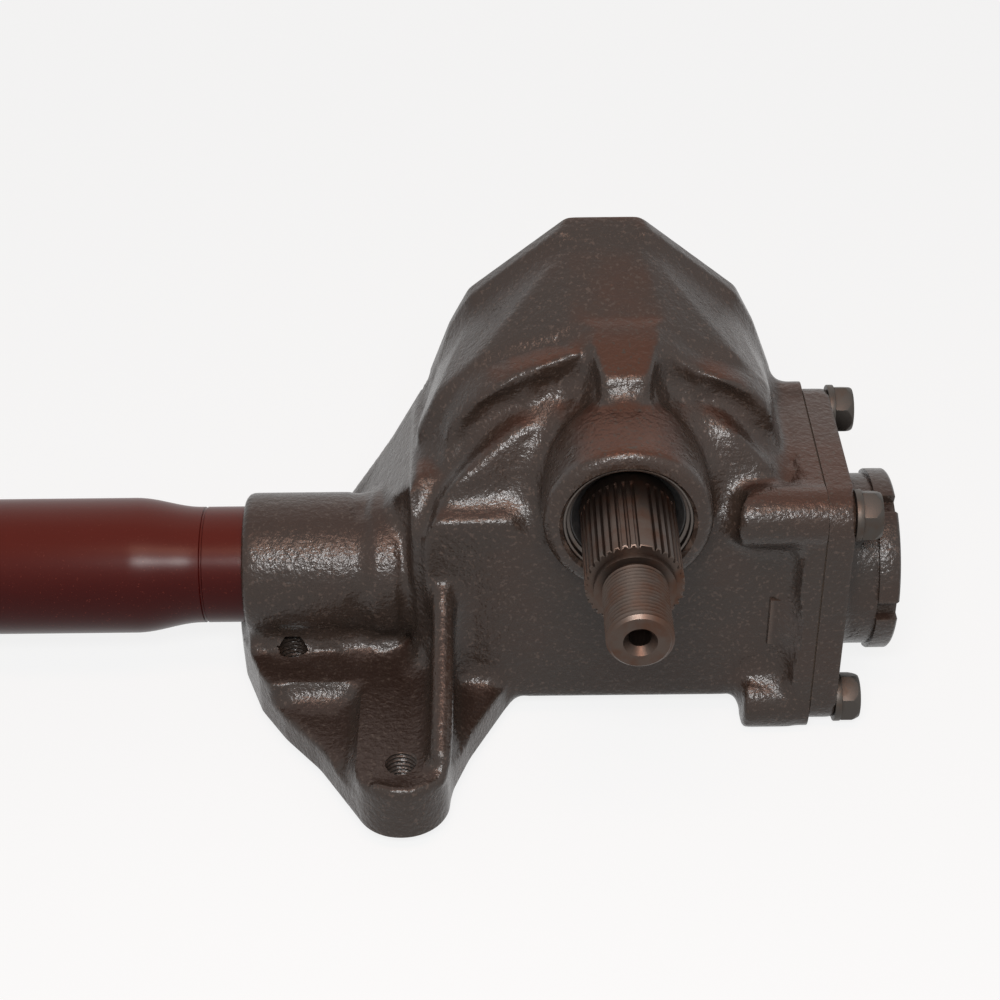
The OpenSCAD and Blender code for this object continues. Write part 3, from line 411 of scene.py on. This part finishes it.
def rod(start, end, r1, r2=None, segments=96):
    start, end = place(*start), place(*end)
    along = end - start
    far_r = r1 if r2 is None else r2
    bm = bmesh.new()
    bmesh.ops.create_cone(bm, cap_ends=True, segments=segments, radius1=r1*MM, radius2=far_r*MM,
                          depth=along.length, matrix=laid((start + end)/2, along))
    return piece(bm, "rod")

def sector_rod(y0, y1, r1, r2=None, segments=96):
    return rod((0, y0, deck), (0, y1, deck), r1, r2, segments)

def block(low, high):
    low, high = place(*low), place(*high)
    bm = bmesh.new()
    bmesh.ops.create_cube(bm, size=1, matrix=Matrix.Translation((low + high)/2)
                          @ Matrix.Diagonal((*(high - low), 1)))
    return piece(bm, "block")

print("rods and blocks ready")

# %% [markdown]
# A screw thread is one pitch of its profile swept along a helix. The spin operator does just that when each step
# also moves along the axis: the end of the profile then meets its own start one turn on, and merging closes the
# flank. The rough ends are sliced off square and filled, so the rod is a closed solid that can also serve as a tap.
# The pitches are those of 16, 18 and 20 threads to the inch, in millimetres.

# %% Threads
pitch_16, pitch_18, pitch_20 = 1.5875, 1.411, 1.27

def threaded_rod(start, end, crest, root, pitch, steps=40):
    start, along = place(*start), place(*end) - place(*start)
    length = along.length
    bm = bmesh.new()
    profile = [(root, 0), (root, 0.22*pitch), (crest, 0.53*pitch), (crest, 0.69*pitch), (root, pitch)]
    points = [bm.verts.new((r*MM, 0, (z - 1.5*pitch)*MM)) for r, z in profile]
    edges = [bm.edges.new(pair) for pair in zip(points, points[1:])]
    turns = math.ceil(length/(pitch*MM)) + 2
    bmesh.ops.spin(bm, geom=points + edges, axis=(0, 0, 1), cent=(0, 0, 0), dvec=(0, 0, pitch*MM/steps),
                   angle=2*math.pi*turns, steps=steps*turns)
    bmesh.ops.remove_doubles(bm, verts=bm.verts, dist=same_place)
    for height, inner, outer in ((0, True, False), (length, False, True)):
        bmesh.ops.bisect_plane(bm, geom=bm.verts[:] + bm.edges[:] + bm.faces[:], plane_co=(0, 0, height),
                               plane_no=(0, 0, 1), clear_inner=inner, clear_outer=outer)
        rim = [edge for edge in bm.edges if edge.is_boundary and
               all(abs(v.co.z - height) < same_place for v in edge.verts)]
        bmesh.ops.contextual_create(bm, geom=rim)
    bmesh.ops.recalc_face_normals(bm, faces=bm.faces)
    bmesh.ops.transform(bm, matrix=laid(start, along), verts=bm.verts)
    return piece(bm, "threaded_rod")

print("threads ready")

# %% [markdown]
# Castings. A foundry pattern has no sharp inner corner: metal flows better and cracks less where walls meet in a
# fillet. The CAD pieces have sharp corners, so a copy is remeshed into small even faces and relaxed: a little all
# over, which rounds the outer edges, and much more around the hollow corners, which become fillets. Relaxing only
# those vertices keeps the flat walls flat. Joint faces are cast with stock that a cutter later takes off, so their
# edges stay as crisp as a mill leaves them.

# %% Casting skin
relax = dict(factor=0.5, use_axis_x=True, use_axis_y=True, use_axis_z=True)

def with_stock(made, at, facing, stock=3.0):
    at, facing = place(*at), Vector(facing)
    bm = bmesh.new()
    bm.from_mesh(made.data)
    bm.normal_update()
    cheek = [face for face in bm.faces if face.normal.dot(facing) > 0.999
             and abs((face.calc_center_median() - at).dot(facing)) < 2e-5]
    grown = bmesh.ops.extrude_face_region(bm, geom=cheek)["geom"]
    bmesh.ops.translate(bm, vec=facing*stock*MM, verts=[v for v in grown if isinstance(v, bmesh.types.BMVert)])
    bmesh.ops.delete(bm, geom=[face for face in cheek if face.is_valid], context="FACES")
    bm.to_mesh(made.data)
    bm.free()
    return made

def cast_skin(made, voxel, edge_turns, fillet_rings, fillet_turns, corner=0.05):
    with_modifier(made, "REMESH", mode="VOXEL", voxel_size=voxel*MM, adaptivity=0)
    bm = bmesh.new()
    bm.from_mesh(made.data)
    for turn in range(edge_turns):
        bmesh.ops.smooth_vert(bm, verts=bm.verts, **relax)
    bm.normal_update()
    hollow = set()
    for vert in bm.verts:
        around = [edge.other_vert(vert).co for edge in vert.link_edges]
        rise = (sum(around, Vector())/len(around) - vert.co).dot(vert.normal)
        if rise > corner*voxel*MM:
            hollow.add(vert)
    for ring in range(fillet_rings):
        hollow |= {edge.other_vert(vert) for vert in hollow for edge in vert.link_edges}
    for turn in range(fillet_turns):
        bmesh.ops.smooth_vert(bm, verts=list(hollow), **relax)
    bm.to_mesh(made.data)
    bm.free()
    print(made.name, "cast skin:", len(made.data.polygons), "faces,", len(hollow), "vertices in fillets")
    return made

def sanded(made, zones):
    """Relaxes the skin inside balls: centre, radius in millimetres, turns. The ball shrinks, so no rim is left."""
    bm = bmesh.new()
    bm.from_mesh(made.data)
    for centre, radius, turns in zones:
        away_from = [(vert, (vert.co - place(*centre)).length) for vert in bm.verts]
        inside = [(vert, away) for vert, away in away_from if away < radius*MM]
        for turn in range(turns):
            reach = radius*MM*(1 - 0.5*turn/turns)
            bmesh.ops.smooth_vert(bm, verts=[vert for vert, away in inside if away < reach], **relax)
    bm.to_mesh(made.data)
    bm.free()
    print(made.name, "sanded in", len(zones), "places")
    return made

# %% [markdown]
# Two more shapes model the soft forms around the output boss. A bar along a smooth path scoops valleys: a curve
# object with a bevel depth draws it from a few points, and its mesh is kept as a cutter. A loft joins closed
# sections into a solid, as the ribs and planks of a boat do, and adds the visor-like front edge of the dome.

# %% Scoops and lofts
def bar_along(points, r):
    curve = bpy.data.curves.new("bar", "CURVE")
    curve.dimensions, curve.bevel_depth, curve.bevel_resolution, curve.use_fill_caps = "3D", r*MM, 6, True
    spline = curve.splines.new("NURBS")
    spline.points.add(len(points) - 1)
    for knot, point in zip(spline.points, points):
        knot.co = (*place(*point), 1)
    spline.use_endpoint_u, spline.order_u, spline.resolution_u = True, 3, 8
    holder = bpy.data.objects.new("bar", curve)
    scene.collection.objects.link(holder)
    bm = bmesh.new()
    bm.from_mesh(holder.to_mesh())
    bpy.data.objects.remove(holder)
    bmesh.ops.remove_doubles(bm, verts=bm.verts, dist=same_place)
    bmesh.ops.recalc_face_normals(bm, faces=bm.faces)
    return piece(bm, "bar")

def loft(*solids):
    bm = bmesh.new()
    for sections in solids:
        rings = []
        for section in sections:
            points = [bm.verts.new(place(*point)) for point in section]
            rings.append([bm.edges.new(pair) for pair in zip(points, points[1:] + points[:1])])
        for ring, following in zip(rings, rings[1:]):
            bmesh.ops.bridge_loops(bm, edges=ring + following)
        for ring in (rings[0], rings[-1]):
            bmesh.ops.contextual_create(bm, geom=ring)
    bmesh.ops.recalc_face_normals(bm, faces=bm.faces)
    return piece(bm, "loft")

print("scoops and lofts ready")

# %% [markdown]
# Housing, first as the foundry makes it. Its bores are only cut after casting, so plugs fill those of the CAD copy.
# The room for the sector is half round, because the ball nut lies below it.

# %% Housing blank
end_face, rear_face, foot_face = 61.2, 40, -37
mount_holes = [(-69, -75), (-106, -20), (-92, 50)]

def half_room(y0, y1, r, top):
    made = sector_rod(y0, y1, r)
    return joined(made, block((-60, y0 - 5, deck + top), (60, y1 + 5, deck + 60)), "DIFFERENCE")

housing = piece(cad_copy("gear_housing"), "housing_casting")
for plug in [rod((-120.6, 0, 0), (-48, 0, 0), 19.6), rod((-50.5, 0, 0), (61.1, 0, 0), 25.4),
             block((-50.3, -14.7, 5), (61.1, 14.7, 26.6)), sector_rod(-47.9, 39.9, 20.5),
             half_room(-14.8, 39.9, 34.4, -0.7), sector_rod(-47.9, -40, 23.5)]:
    joined(housing, plug, "UNION")
for x, y in mount_holes:
    joined(housing, rod((x, y, -36.9), (x, y, -20.1), 5.4), "UNION")
print("housing's bores plugged")

# %% [markdown]
# The dome's front edge stands out like a visor over two round cheeks, one on each side of the output boss. Both are
# lofts along X. A visor's section needs two corners, the back one and the lip, and hangs from them. A cheek's
# section starts at its ridge, from which a steep face falls to the ledge.

# %% Visor and cheeks
# each section of a visor: back corner (x, z), then the lip (x, y, z)
visor_left = [((-57, 56), (-54.5, -7, 53)), ((-54.5, 62), (-53.2, -8, 57.7)), ((-50, 69.5), (-49.4, -9, 62.7)),
              ((-44, 75), (-43.8, -10, 69.2)), ((-37, 77.5), (-37.7, -10, 74.1)),
              ((-30, 79.5), (-31.6, -9.5, 77.7)), ((-23, 81.5), (-25.6, -9, 80.5)), ((-14, 84), (-15.7, -7, 83.4)),
              ((-5, 84), (-5, -6, 84))]
visor_right = [((5, 84), (5, -6, 84)), ((14, 84.5), (13, -6.5, 84.3)), ((20.7, 81.5), (18.4, -7.5, 80.3)),
               ((26, 78.5), (23, -8.5, 77.3)), ((31, 76), (29, -10, 76)), ((37, 73), (34.5, -10, 73.8)),
               ((42, 70), (40.1, -10, 70.2)), ((46, 66), (45.1, -9, 64)), ((48, 59), (47.5, -8.5, 57.8)),
               ((48.5, 52), (46.7, -8.5, 51.5))]
for visor in (visor_left, visor_right):
    joined(housing, loft([[(back_x, 4, back_z), (x, y, z), (x, y + 2.5, z - 9), (x, 4, z - 14)]
                          for (back_x, back_z), (x, y, z) in visor]), "UNION")
cheek_left = [(-58, -25, 41), (-53.4, -23, 46), (-45.6, -19.8, 52.5), (-37.9, -16.5, 58.5), (-32.4, -14.5, 62),
              (-24, -13, 64)]
cheek_right = [(23, -13, 64), (27.5, -14.5, 65.5), (33.7, -15.5, 64), (39.3, -17, 59), (43.5, -19, 53.5),
               (47, -22, 47)]
for cheek in (cheek_left, cheek_right):
    joined(housing, loft([[(x, y, z), (x, -22.4, 40), (x, -10, 40), (x, y + 5, z)] for x, y, z in cheek]), "UNION")
print("visor and cheeks added")

# %% [markdown]
# Bars then scoop the hollows: under the visor, beside the boss, over the ledge, around the upper bolt boss and down
# the corner beside the socket. Each path lists the points that its bar follows.

# %% Hollows
under_visor_left = [(-65.5, -29, 34), (-62, -22.5, 42.5), (-57, -16, 48), (-51.5, -12.5, 53.5), (-45, -11.5, 60),
                    (-38, -11, 66), (-30, -11, 70), (-21, -10.5, 73)]
under_visor_right = [(17, -10.5, 73), (27, -11, 70.5), (35, -11.5, 66.5), (42, -12, 60), (46, -13, 52)]
valley_left = [(-27, -38.5, 25), (-28.5, -34.8, 36), (-31, -29, 46), (-30, -23.5, 56), (-26, -18.5, 65),
               (-19.5, -15, 72), (-13, -13, 77)]
valley_right = [(-x, y, z) for x, y, z in valley_left]
ledge = [(-70, -28.4, 44.2), (-50, -28.4, 44.2), (-26, -29, 44.2)]
around_barrel = [(23.5, -32.5, 24), (23.5, -31.5, 36), (25.5, -29, 44), (30, -27.5, 49), (40, -27, 51.5),
                 (52, -27, 52)]
left_corner = [(-64, -24, 60), (-66, -29, 46), (-66.7, -31.5, 25), (-66.7, -31.5, 5), (-66, -31.5, -14)]
for path, r in [(under_visor_left, 5.5), (under_visor_right, 5.5), (valley_left, 6.5), (valley_right, 6.5),
                (ledge, 6), (around_barrel, 3.2), (left_corner, 5.5)]:
    joined(housing, bar_along(path, r), "DIFFERENCE")
print("hollows scooped")

# %% [markdown]
# Smaller forms. The lower bolt bosses start square, the roof's plane runs on over the tab on top of the rear
# flange, the socket stands on its pad with a fillet, and the gusset's round top ends in a rim around the tip's pad.

# %% Bosses, foot and gusset
for side in (-30, 30):
    joined(housing, rod((40, side, -34), (56, side, -34), 9.8), "UNION")
roof = [(y, 85.8 + 0.5*y) for y in (20, 45)]
joined(housing, loft([[(-19, y, z), (10, y, z), (10, y, 112), (-19, y, 112)] for y, z in roof]), "DIFFERENCE")
foot = [(-120.5, 0), (-86, 0), (-80, 1.3), (-70, 1.3)]
joined(housing, loft([[(x, -22.5 - out, -20.6), (x, -18.4 - out, -14.4), (x, -10, -14), (x, -10, -21)]
                      for x, out in foot]), "UNION")
gusset_top = [(-56.3, -24, 13), (-56.3, -31, 11.5), (-56.3, -36, 6.5), (-56.3, -57, -5.5), (-56.8, -78, -17.5)]
tip_x, tip_y = mount_holes[0]
tip_rim = [(tip_x + 13*math.cos(math.radians(a)), tip_y + 13*math.sin(math.radians(a)), -20)
           for a in range(20, -131, -25)]
for path, r in [(gusset_top, 3.9), (tip_rim, 2)]:
    joined(housing, bar_along(path, r), "UNION")
print("bosses, foot and gusset added")

# %% [markdown]
# Now the pattern is whole, and the housing gets stock on its three joint faces and its cast skin. A pattern maker
# sands the soft places rounder: along the gusset, the visor and the ledge, on the cheeks and beside the bolt boss.

# %% Housing skin
with_stock(housing, (end_face, 0, 0), (1, 0, 0))
with_stock(housing, (0, rear_face, 0), (0, 1, 0))
with_stock(housing, (0, 0, foot_face), (0, 0, -1))
cast_skin(housing, 1.1, 6, 5, 90)
along_gusset = [((-56.3, -36 - 10*i, 6.5 - 5.7*i), 9, 10) for i in range(5)]
along_visor = [(lip, 10, 24) for back, lip in visor_left[2:8:2] + visor_right[2:9:2]]
along_ledge = [((x, -30.5, 38), 9, 10) for x in (-55, -42, -31)]
sanded(housing, along_gusset + along_visor + along_ledge
       + [((33, -20, 56), 15, 60), ((27, -28, 50), 11, 40), ((27, -34, 39), 10, 30), ((-36, -19, 56), 14, 14),
          ((-50, -22, 48), 13, 14)])

# %% [markdown]
# Then as the machine shop leaves it: the joint faces are milled flat, the bores are opened again, and the three
# mounting holes are cut with a threaded rod as the tap. The hole beside the socket ends in the drill's point, so it
# breaks out round in the fillet. The flat strip beside the end flange comes in here, because it is crisp.

# %% Housing machining
for tool in [block((end_face, -90, -90), (80, 90, 140)), block((-70, rear_face, -20), (70, 60, 140)),
             block((-160, -120, -60), (-20, 90, foot_face))]:
    joined(housing, tool, "DIFFERENCE")
strip = [[(x0, y, z0), (x1, y, z0), (x1, y, z1), (x0, y, z1)]
         for x0, x1, z0, z1, y in [(46.3, 53, -11, 8, -29), (47, 53, -10.3, 7.3, -31.6)]]
joined(housing, loft(strip), "UNION")
jacket_seat, worm_seal_seat = rod((-122.5, 0, 0), (-95, 0, 0), 19.07), rod((-96, 0, 0), (-82, 0, 0), 14.545)
shaft_way, cup_seat = rod((-84, 0, 0), (-61, 0, 0), 12.025), rod((-62, 0, 0), (-49, 0, 0), 18.02)
worm_room, nut_room = rod((-50, 0, 0), (63, 0, 0), 25), block((-50, -14.3, 0), (63, 14.3, 26.03))
sector_room, cover_spigot = half_room(-14.5, 42, 34.03, -1), sector_rod(-14.5, 42, 19.99)
bushing_seat, output_seal_seat = sector_rod(-52, -14, 17.31), sector_rod(-52, -38.4, 19.51)
boss_face, boss_chamfer = sector_rod(-60, -48, 40), sector_rod(-48.1, -46.9, 20.7, 19.5)
bores = jacket_seat
for tool in [worm_seal_seat, shaft_way, cup_seat, worm_room, nut_room, sector_room, cover_spigot, bushing_seat,
             output_seal_seat, boss_face, boss_chamfer]:
    joined(bores, tool, "UNION")
joined(housing, bores, "DIFFERENCE")
for (x, y), top in zip(mount_holes, (-15, -17.3, -15)):
    joined(housing, threaded_rod((x, y, -40), (x, y, top), 5.55, 4.9, pitch_16), "DIFFERENCE")
x, y = mount_holes[1]
joined(housing, rod((x, y, -18.5), (x, y, -14.3), 5.5, 2.4), "DIFFERENCE")
hand_over(housing, "gear_housing", degrees=40)

# %% [markdown]
# End cover and side cover are castings too. Each gets the same skin, and its bore and bolt holes are drilled again.
# The end cover, which shows, is also milled on its joint face and on its hub. The bolts' places are read from the
# CAD bolts, one island of mesh for each bolt, so the holes follow them. They are sorted, because a set of vertices
# has no order of its own and every run should drill in the same one.

# %% Covers
def islands(node):
    bm = cad_copy(node)
    left, boxes = set(bm.verts), []
    while left:
        todo, group = [left.pop()], []
        while todo:
            vert = todo.pop()
            group.append(vert.co.copy())
            for edge in vert.link_edges:
                other = edge.other_vert(vert)
                if other in left:
                    left.remove(other)
                    todo.append(other)
        boxes.append([[f(co[axis] for co in group) for axis in range(3)] for f in (min, max)])
    bm.free()
    return sorted(((Vector(low) + Vector(high))/2/MM - worm_axis/MM for low, high in boxes), key=tuple)

def end_drill(x0, x1, r):
    return [rod((x0, bolt.y, bolt.z), (x1, bolt.y, bolt.z), r) for bolt in end_bolts]

def side_drill(y0, y1, r):
    return [rod((bolt.x, y0, bolt.z), (bolt.x, y1, bolt.z), r) for bolt in side_bolts]

hole_r, plug_r = 5.06, 5.6
end_joint, hub_face = 61.7, 81.5
end_bolts = islands("end_cover_bolts")
end_cover = piece(cad_copy("end_cover"), "end_cover_casting")
for plug in [rod((61.8, 0, 0), (81.4, 0, 0), 22.5)] + end_drill(61.8, 69.9, plug_r):
    joined(end_cover, plug, "UNION")
with_stock(end_cover, (end_joint, 0, 0), (-1, 0, 0))
with_stock(end_cover, (hub_face, 0, 0), (1, 0, 0))
cast_skin(end_cover, 1.0, 4, 3, 25)
for tool in [block((50, -90, -90), (end_joint, 90, 90)), block((hub_face, -90, -90), (95, 90, 90)),
             rod((60, 0, 0), (83, 0, 0), 22.02)] + end_drill(60, 72, hole_r):
    joined(end_cover, tool, "DIFFERENCE")
hand_over(end_cover, "end_cover", degrees=40)

side_bolts = islands("side_cover_bolts")
side_cover = piece(cad_copy("side_cover"), "side_cover_casting")
for plug in [sector_rod(16.1, 54.4, 15.6)] + side_drill(40.6, 48.4, plug_r):
    joined(side_cover, plug, "UNION")
cast_skin(side_cover, 1.0, 4, 3, 25)
for tool in [sector_rod(10, 40.5, 15.32), sector_rod(39, 60, 5.575)] + side_drill(38, 52, hole_r):
    joined(side_cover, tool, "DIFFERENCE")
hand_over(side_cover, "side_cover", degrees=40)

# %% [markdown]
# Output shaft. Its copy is cut off where the splines begin, and they are cut again as a hob leaves them: narrow
# grooves with one left out, so that the drop arm fits in one position only. Then comes a real thread. The ends are
# chamfered by keeping only what lies inside a pointed rod, and a centre drill leaves the countersunk hole that the
# lathe held the shaft by.

# %% Output shaft
def groove(angle, y):
    out, across = Vector((math.cos(angle), math.sin(angle))), Vector((-math.sin(angle), math.cos(angle)))
    corners = [13.35*out - 0.27*across, 13.35*out + 0.27*across, 14.8*out + 0.85*across, 14.8*out - 0.85*across]
    return [(corner.x, y, deck + corner.y) for corner in corners]

spline_start, spline_end = -76.8, -45.2
splined = sector_rod(spline_start, -45, 14.2875, segments=360)
grooves = [[groove(math.radians(78 + 10*i), y) for y in (-78, spline_end)] for i in range(1, 36)]
joined(splined, loft(*grooves), "DIFFERENCE")
spline_point = joined(sector_rod(-76.1, -44, 14.4), sector_rod(-76.9, -75.1, 13.6, 15.4), "UNION")
joined(splined, spline_point, "INTERSECT")
joined(splined, sector_rod(-78.5, -44, 11), "UNION")
shaft = piece(cad_copy("sector_shaft"), "output_shaft")
joined(shaft, sector_rod(-120, -79, 30), "DIFFERENCE")
joined(shaft, sector_rod(spline_start, spline_end, 30), "DIFFERENCE")
joined(shaft, splined, "UNION")
thread = threaded_rod((0, -78.5, deck), (0, -102, deck), 9.525, 8.6, pitch_16)
thread_point = joined(sector_rod(-100.7, -78, 9.6), sector_rod(-102.2, -99.7, 8.1, 10.6), "UNION")
joined(thread, thread_point, "INTERSECT")
joined(shaft, thread, "UNION")
centre_drill = joined(sector_rod(-103, -93, 3.2), sector_rod(-102.1, -99.3, 4.86, 3), "UNION")
joined(shaft, centre_drill, "DIFFERENCE")
hand_over(shaft, "sector_shaft")

# %% [markdown]
# Column jacket: drawn tube whose end is swaged down to the neck that sits in the housing. One closed profile, spun
# around the worm's axis, makes the wall, the smooth swage, the fine ring line beside it and the rolled far edge.

# %% Column jacket
def spun_about_worm(profile, name, steps=128):
    bm = bmesh.new()
    points = [bm.verts.new(place(x, r, 0)) for r, x in profile]
    edges = [bm.edges.new(pair) for pair in zip(points, points[1:] + points[:1])]
    bmesh.ops.spin(bm, geom=points + edges, axis=(1, 0, 0), cent=worm_axis, angle=2*math.pi, steps=steps,
                   use_merge=True)
    bmesh.ops.remove_doubles(bm, verts=bm.verts, dist=same_place)
    bmesh.ops.recalc_face_normals(bm, faces=bm.faces)
    return piece(bm, name)

wall, neck_r, tube_r = 1.65, 19.05, 22.225
swage = [(neck_r + (tube_r - neck_r)*(1 - math.cos(math.pi*i/24))/2, -136 - 22*i/24) for i in range(25)]
outside = [(neck_r, -95), (neck_r, -133.9), (neck_r - 0.4, -134.2), (neck_r - 0.4, -134.7), (neck_r, -135)] + swage
inside = [(r - wall, x) for r, x in reversed(swage)] + [(neck_r - wall, -95)]
lip = [(tube_r, -329.2), (tube_r - 0.3, -329.8), (tube_r - 0.8, -330), (tube_r - wall, -329.6)]
jacket = spun_about_worm(outside + lip + inside, "column_jacket")
hand_over(jacket, "jacket_tube")

# %% [markdown]
# Steering shaft: beyond the jacket it carries serrations for the wheel and a thread for the wheel's nut. The copy
# is cut at the end of the serrations and gets its real thread, as the output shaft did.

# %% Steering shaft
steering = piece(cad_copy("steering_shaft"), "steering_shaft_turned")
joined(steering, rod((-400, 0, 0), (-364, 0, 0), 20), "DIFFERENCE")
wheel_thread = threaded_rod((-363.5, 0, 0), (-385, 0, 0), 7.94, 7.1, pitch_18)
wheel_point = joined(rod((-383.8, 0, 0), (-363, 0, 0), 8), rod((-385.1, 0, 0), (-382.8, 0, 0), 6.7, 9), "UNION")
joined(wheel_thread, wheel_point, "INTERSECT")
joined(steering, wheel_thread, "UNION")
hand_over(steering, "steering_shaft")

# %% [markdown]
# Lash screw: a long thread with a screwdriver slot, which sets the play of the sector from outside. Its head stays
# the CAD's; everything behind it is a thread with a chamfered end.

# %% Lash screw
lash = piece(cad_copy("lash_screw"), "lash_screw_threaded")
joined(lash, sector_rod(42, 80, 12), "DIFFERENCE")
lash_thread = threaded_rod((0, 41.5, deck), (0, 70.5, deck), 5.55, 4.9, pitch_20)
lash_point = joined(sector_rod(41, 69.6, 5.6), sector_rod(68.6, 70.6, 6.6, 4.6), "UNION")
joined(lash_thread, lash_point, "INTERSECT")
joined(lash, lash_thread, "UNION")
joined(lash, block((-8, 68, deck - 0.8), (8, 72, deck + 0.8)), "DIFFERENCE")
hand_over(lash, "lash_screw")

# %% [markdown]
# The end cover's gasket was cut a little small, as paper gaskets are, so that a dark joint line shows between the
# cover and the housing. A scale about the worm's axis does that.

# %% Gasket
bm = cad_copy("end_cover_gasket")
bmesh.ops.scale(bm, vec=(1, 0.985, 0.985), space=Matrix.Translation(-place(0, 0, 2.5)), verts=bm.verts)
hand_over(piece(bm, "end_cover_gasket_cut"), "end_cover_gasket")

# %% [markdown]
# Bolts, washers, nuts and rings come off machines with their corners broken. Their CAD shapes are right, so each
# copy only gets a small bevel on every edge that turns more than thirty degrees; limited dissolve joins the flat
# triangles first, because a bevel needs whole faces.

# %% Eased edges
def eased(node, name, width, segments=2):
    bm = cad_copy(node)
    bmesh.ops.dissolve_limit(bm, angle_limit=math.radians(1), verts=bm.verts, edges=bm.edges)
    corners = [edge for edge in bm.edges if edge.is_manifold and edge.calc_face_angle(0) > math.radians(30)]
    bmesh.ops.bevel(bm, geom=corners, offset=width*MM, offset_type="OFFSET", affect="EDGES", segments=segments,
                    profile=0.5, material=-1, clamp_overlap=True)
    bmesh.ops.triangulate(bm, faces=[face for face in bm.faces if len(face.verts) > 4])
    return hand_over(piece(bm, name), node, degrees=35)

for node, name, width in [("end_cover_bolts", "end_cover_bolts_eased", 0.35),
                          ("side_cover_bolts", "side_cover_bolts_eased", 0.35),
                          ("end_cover_lock_washers", "end_lock_washers_eased", 0.25),
                          ("side_cover_lock_washers", "side_lock_washers_eased", 0.25),
                          ("adjuster_locknut", "notched_locknut", 0.6),
                          ("worm_bearing_adjuster", "bearing_adjuster", 0.35),
                          ("lash_locknut", "lash_nut", 0.35),
                          ("jacket_bush", "jacket_bush_moulded", 0.5),
                          ("sector_seal_case", "seal_case_pressed", 0.35),
                          ("sector_seal_lip", "seal_lip_moulded", 0.25)]:
    eased(node, name, width)
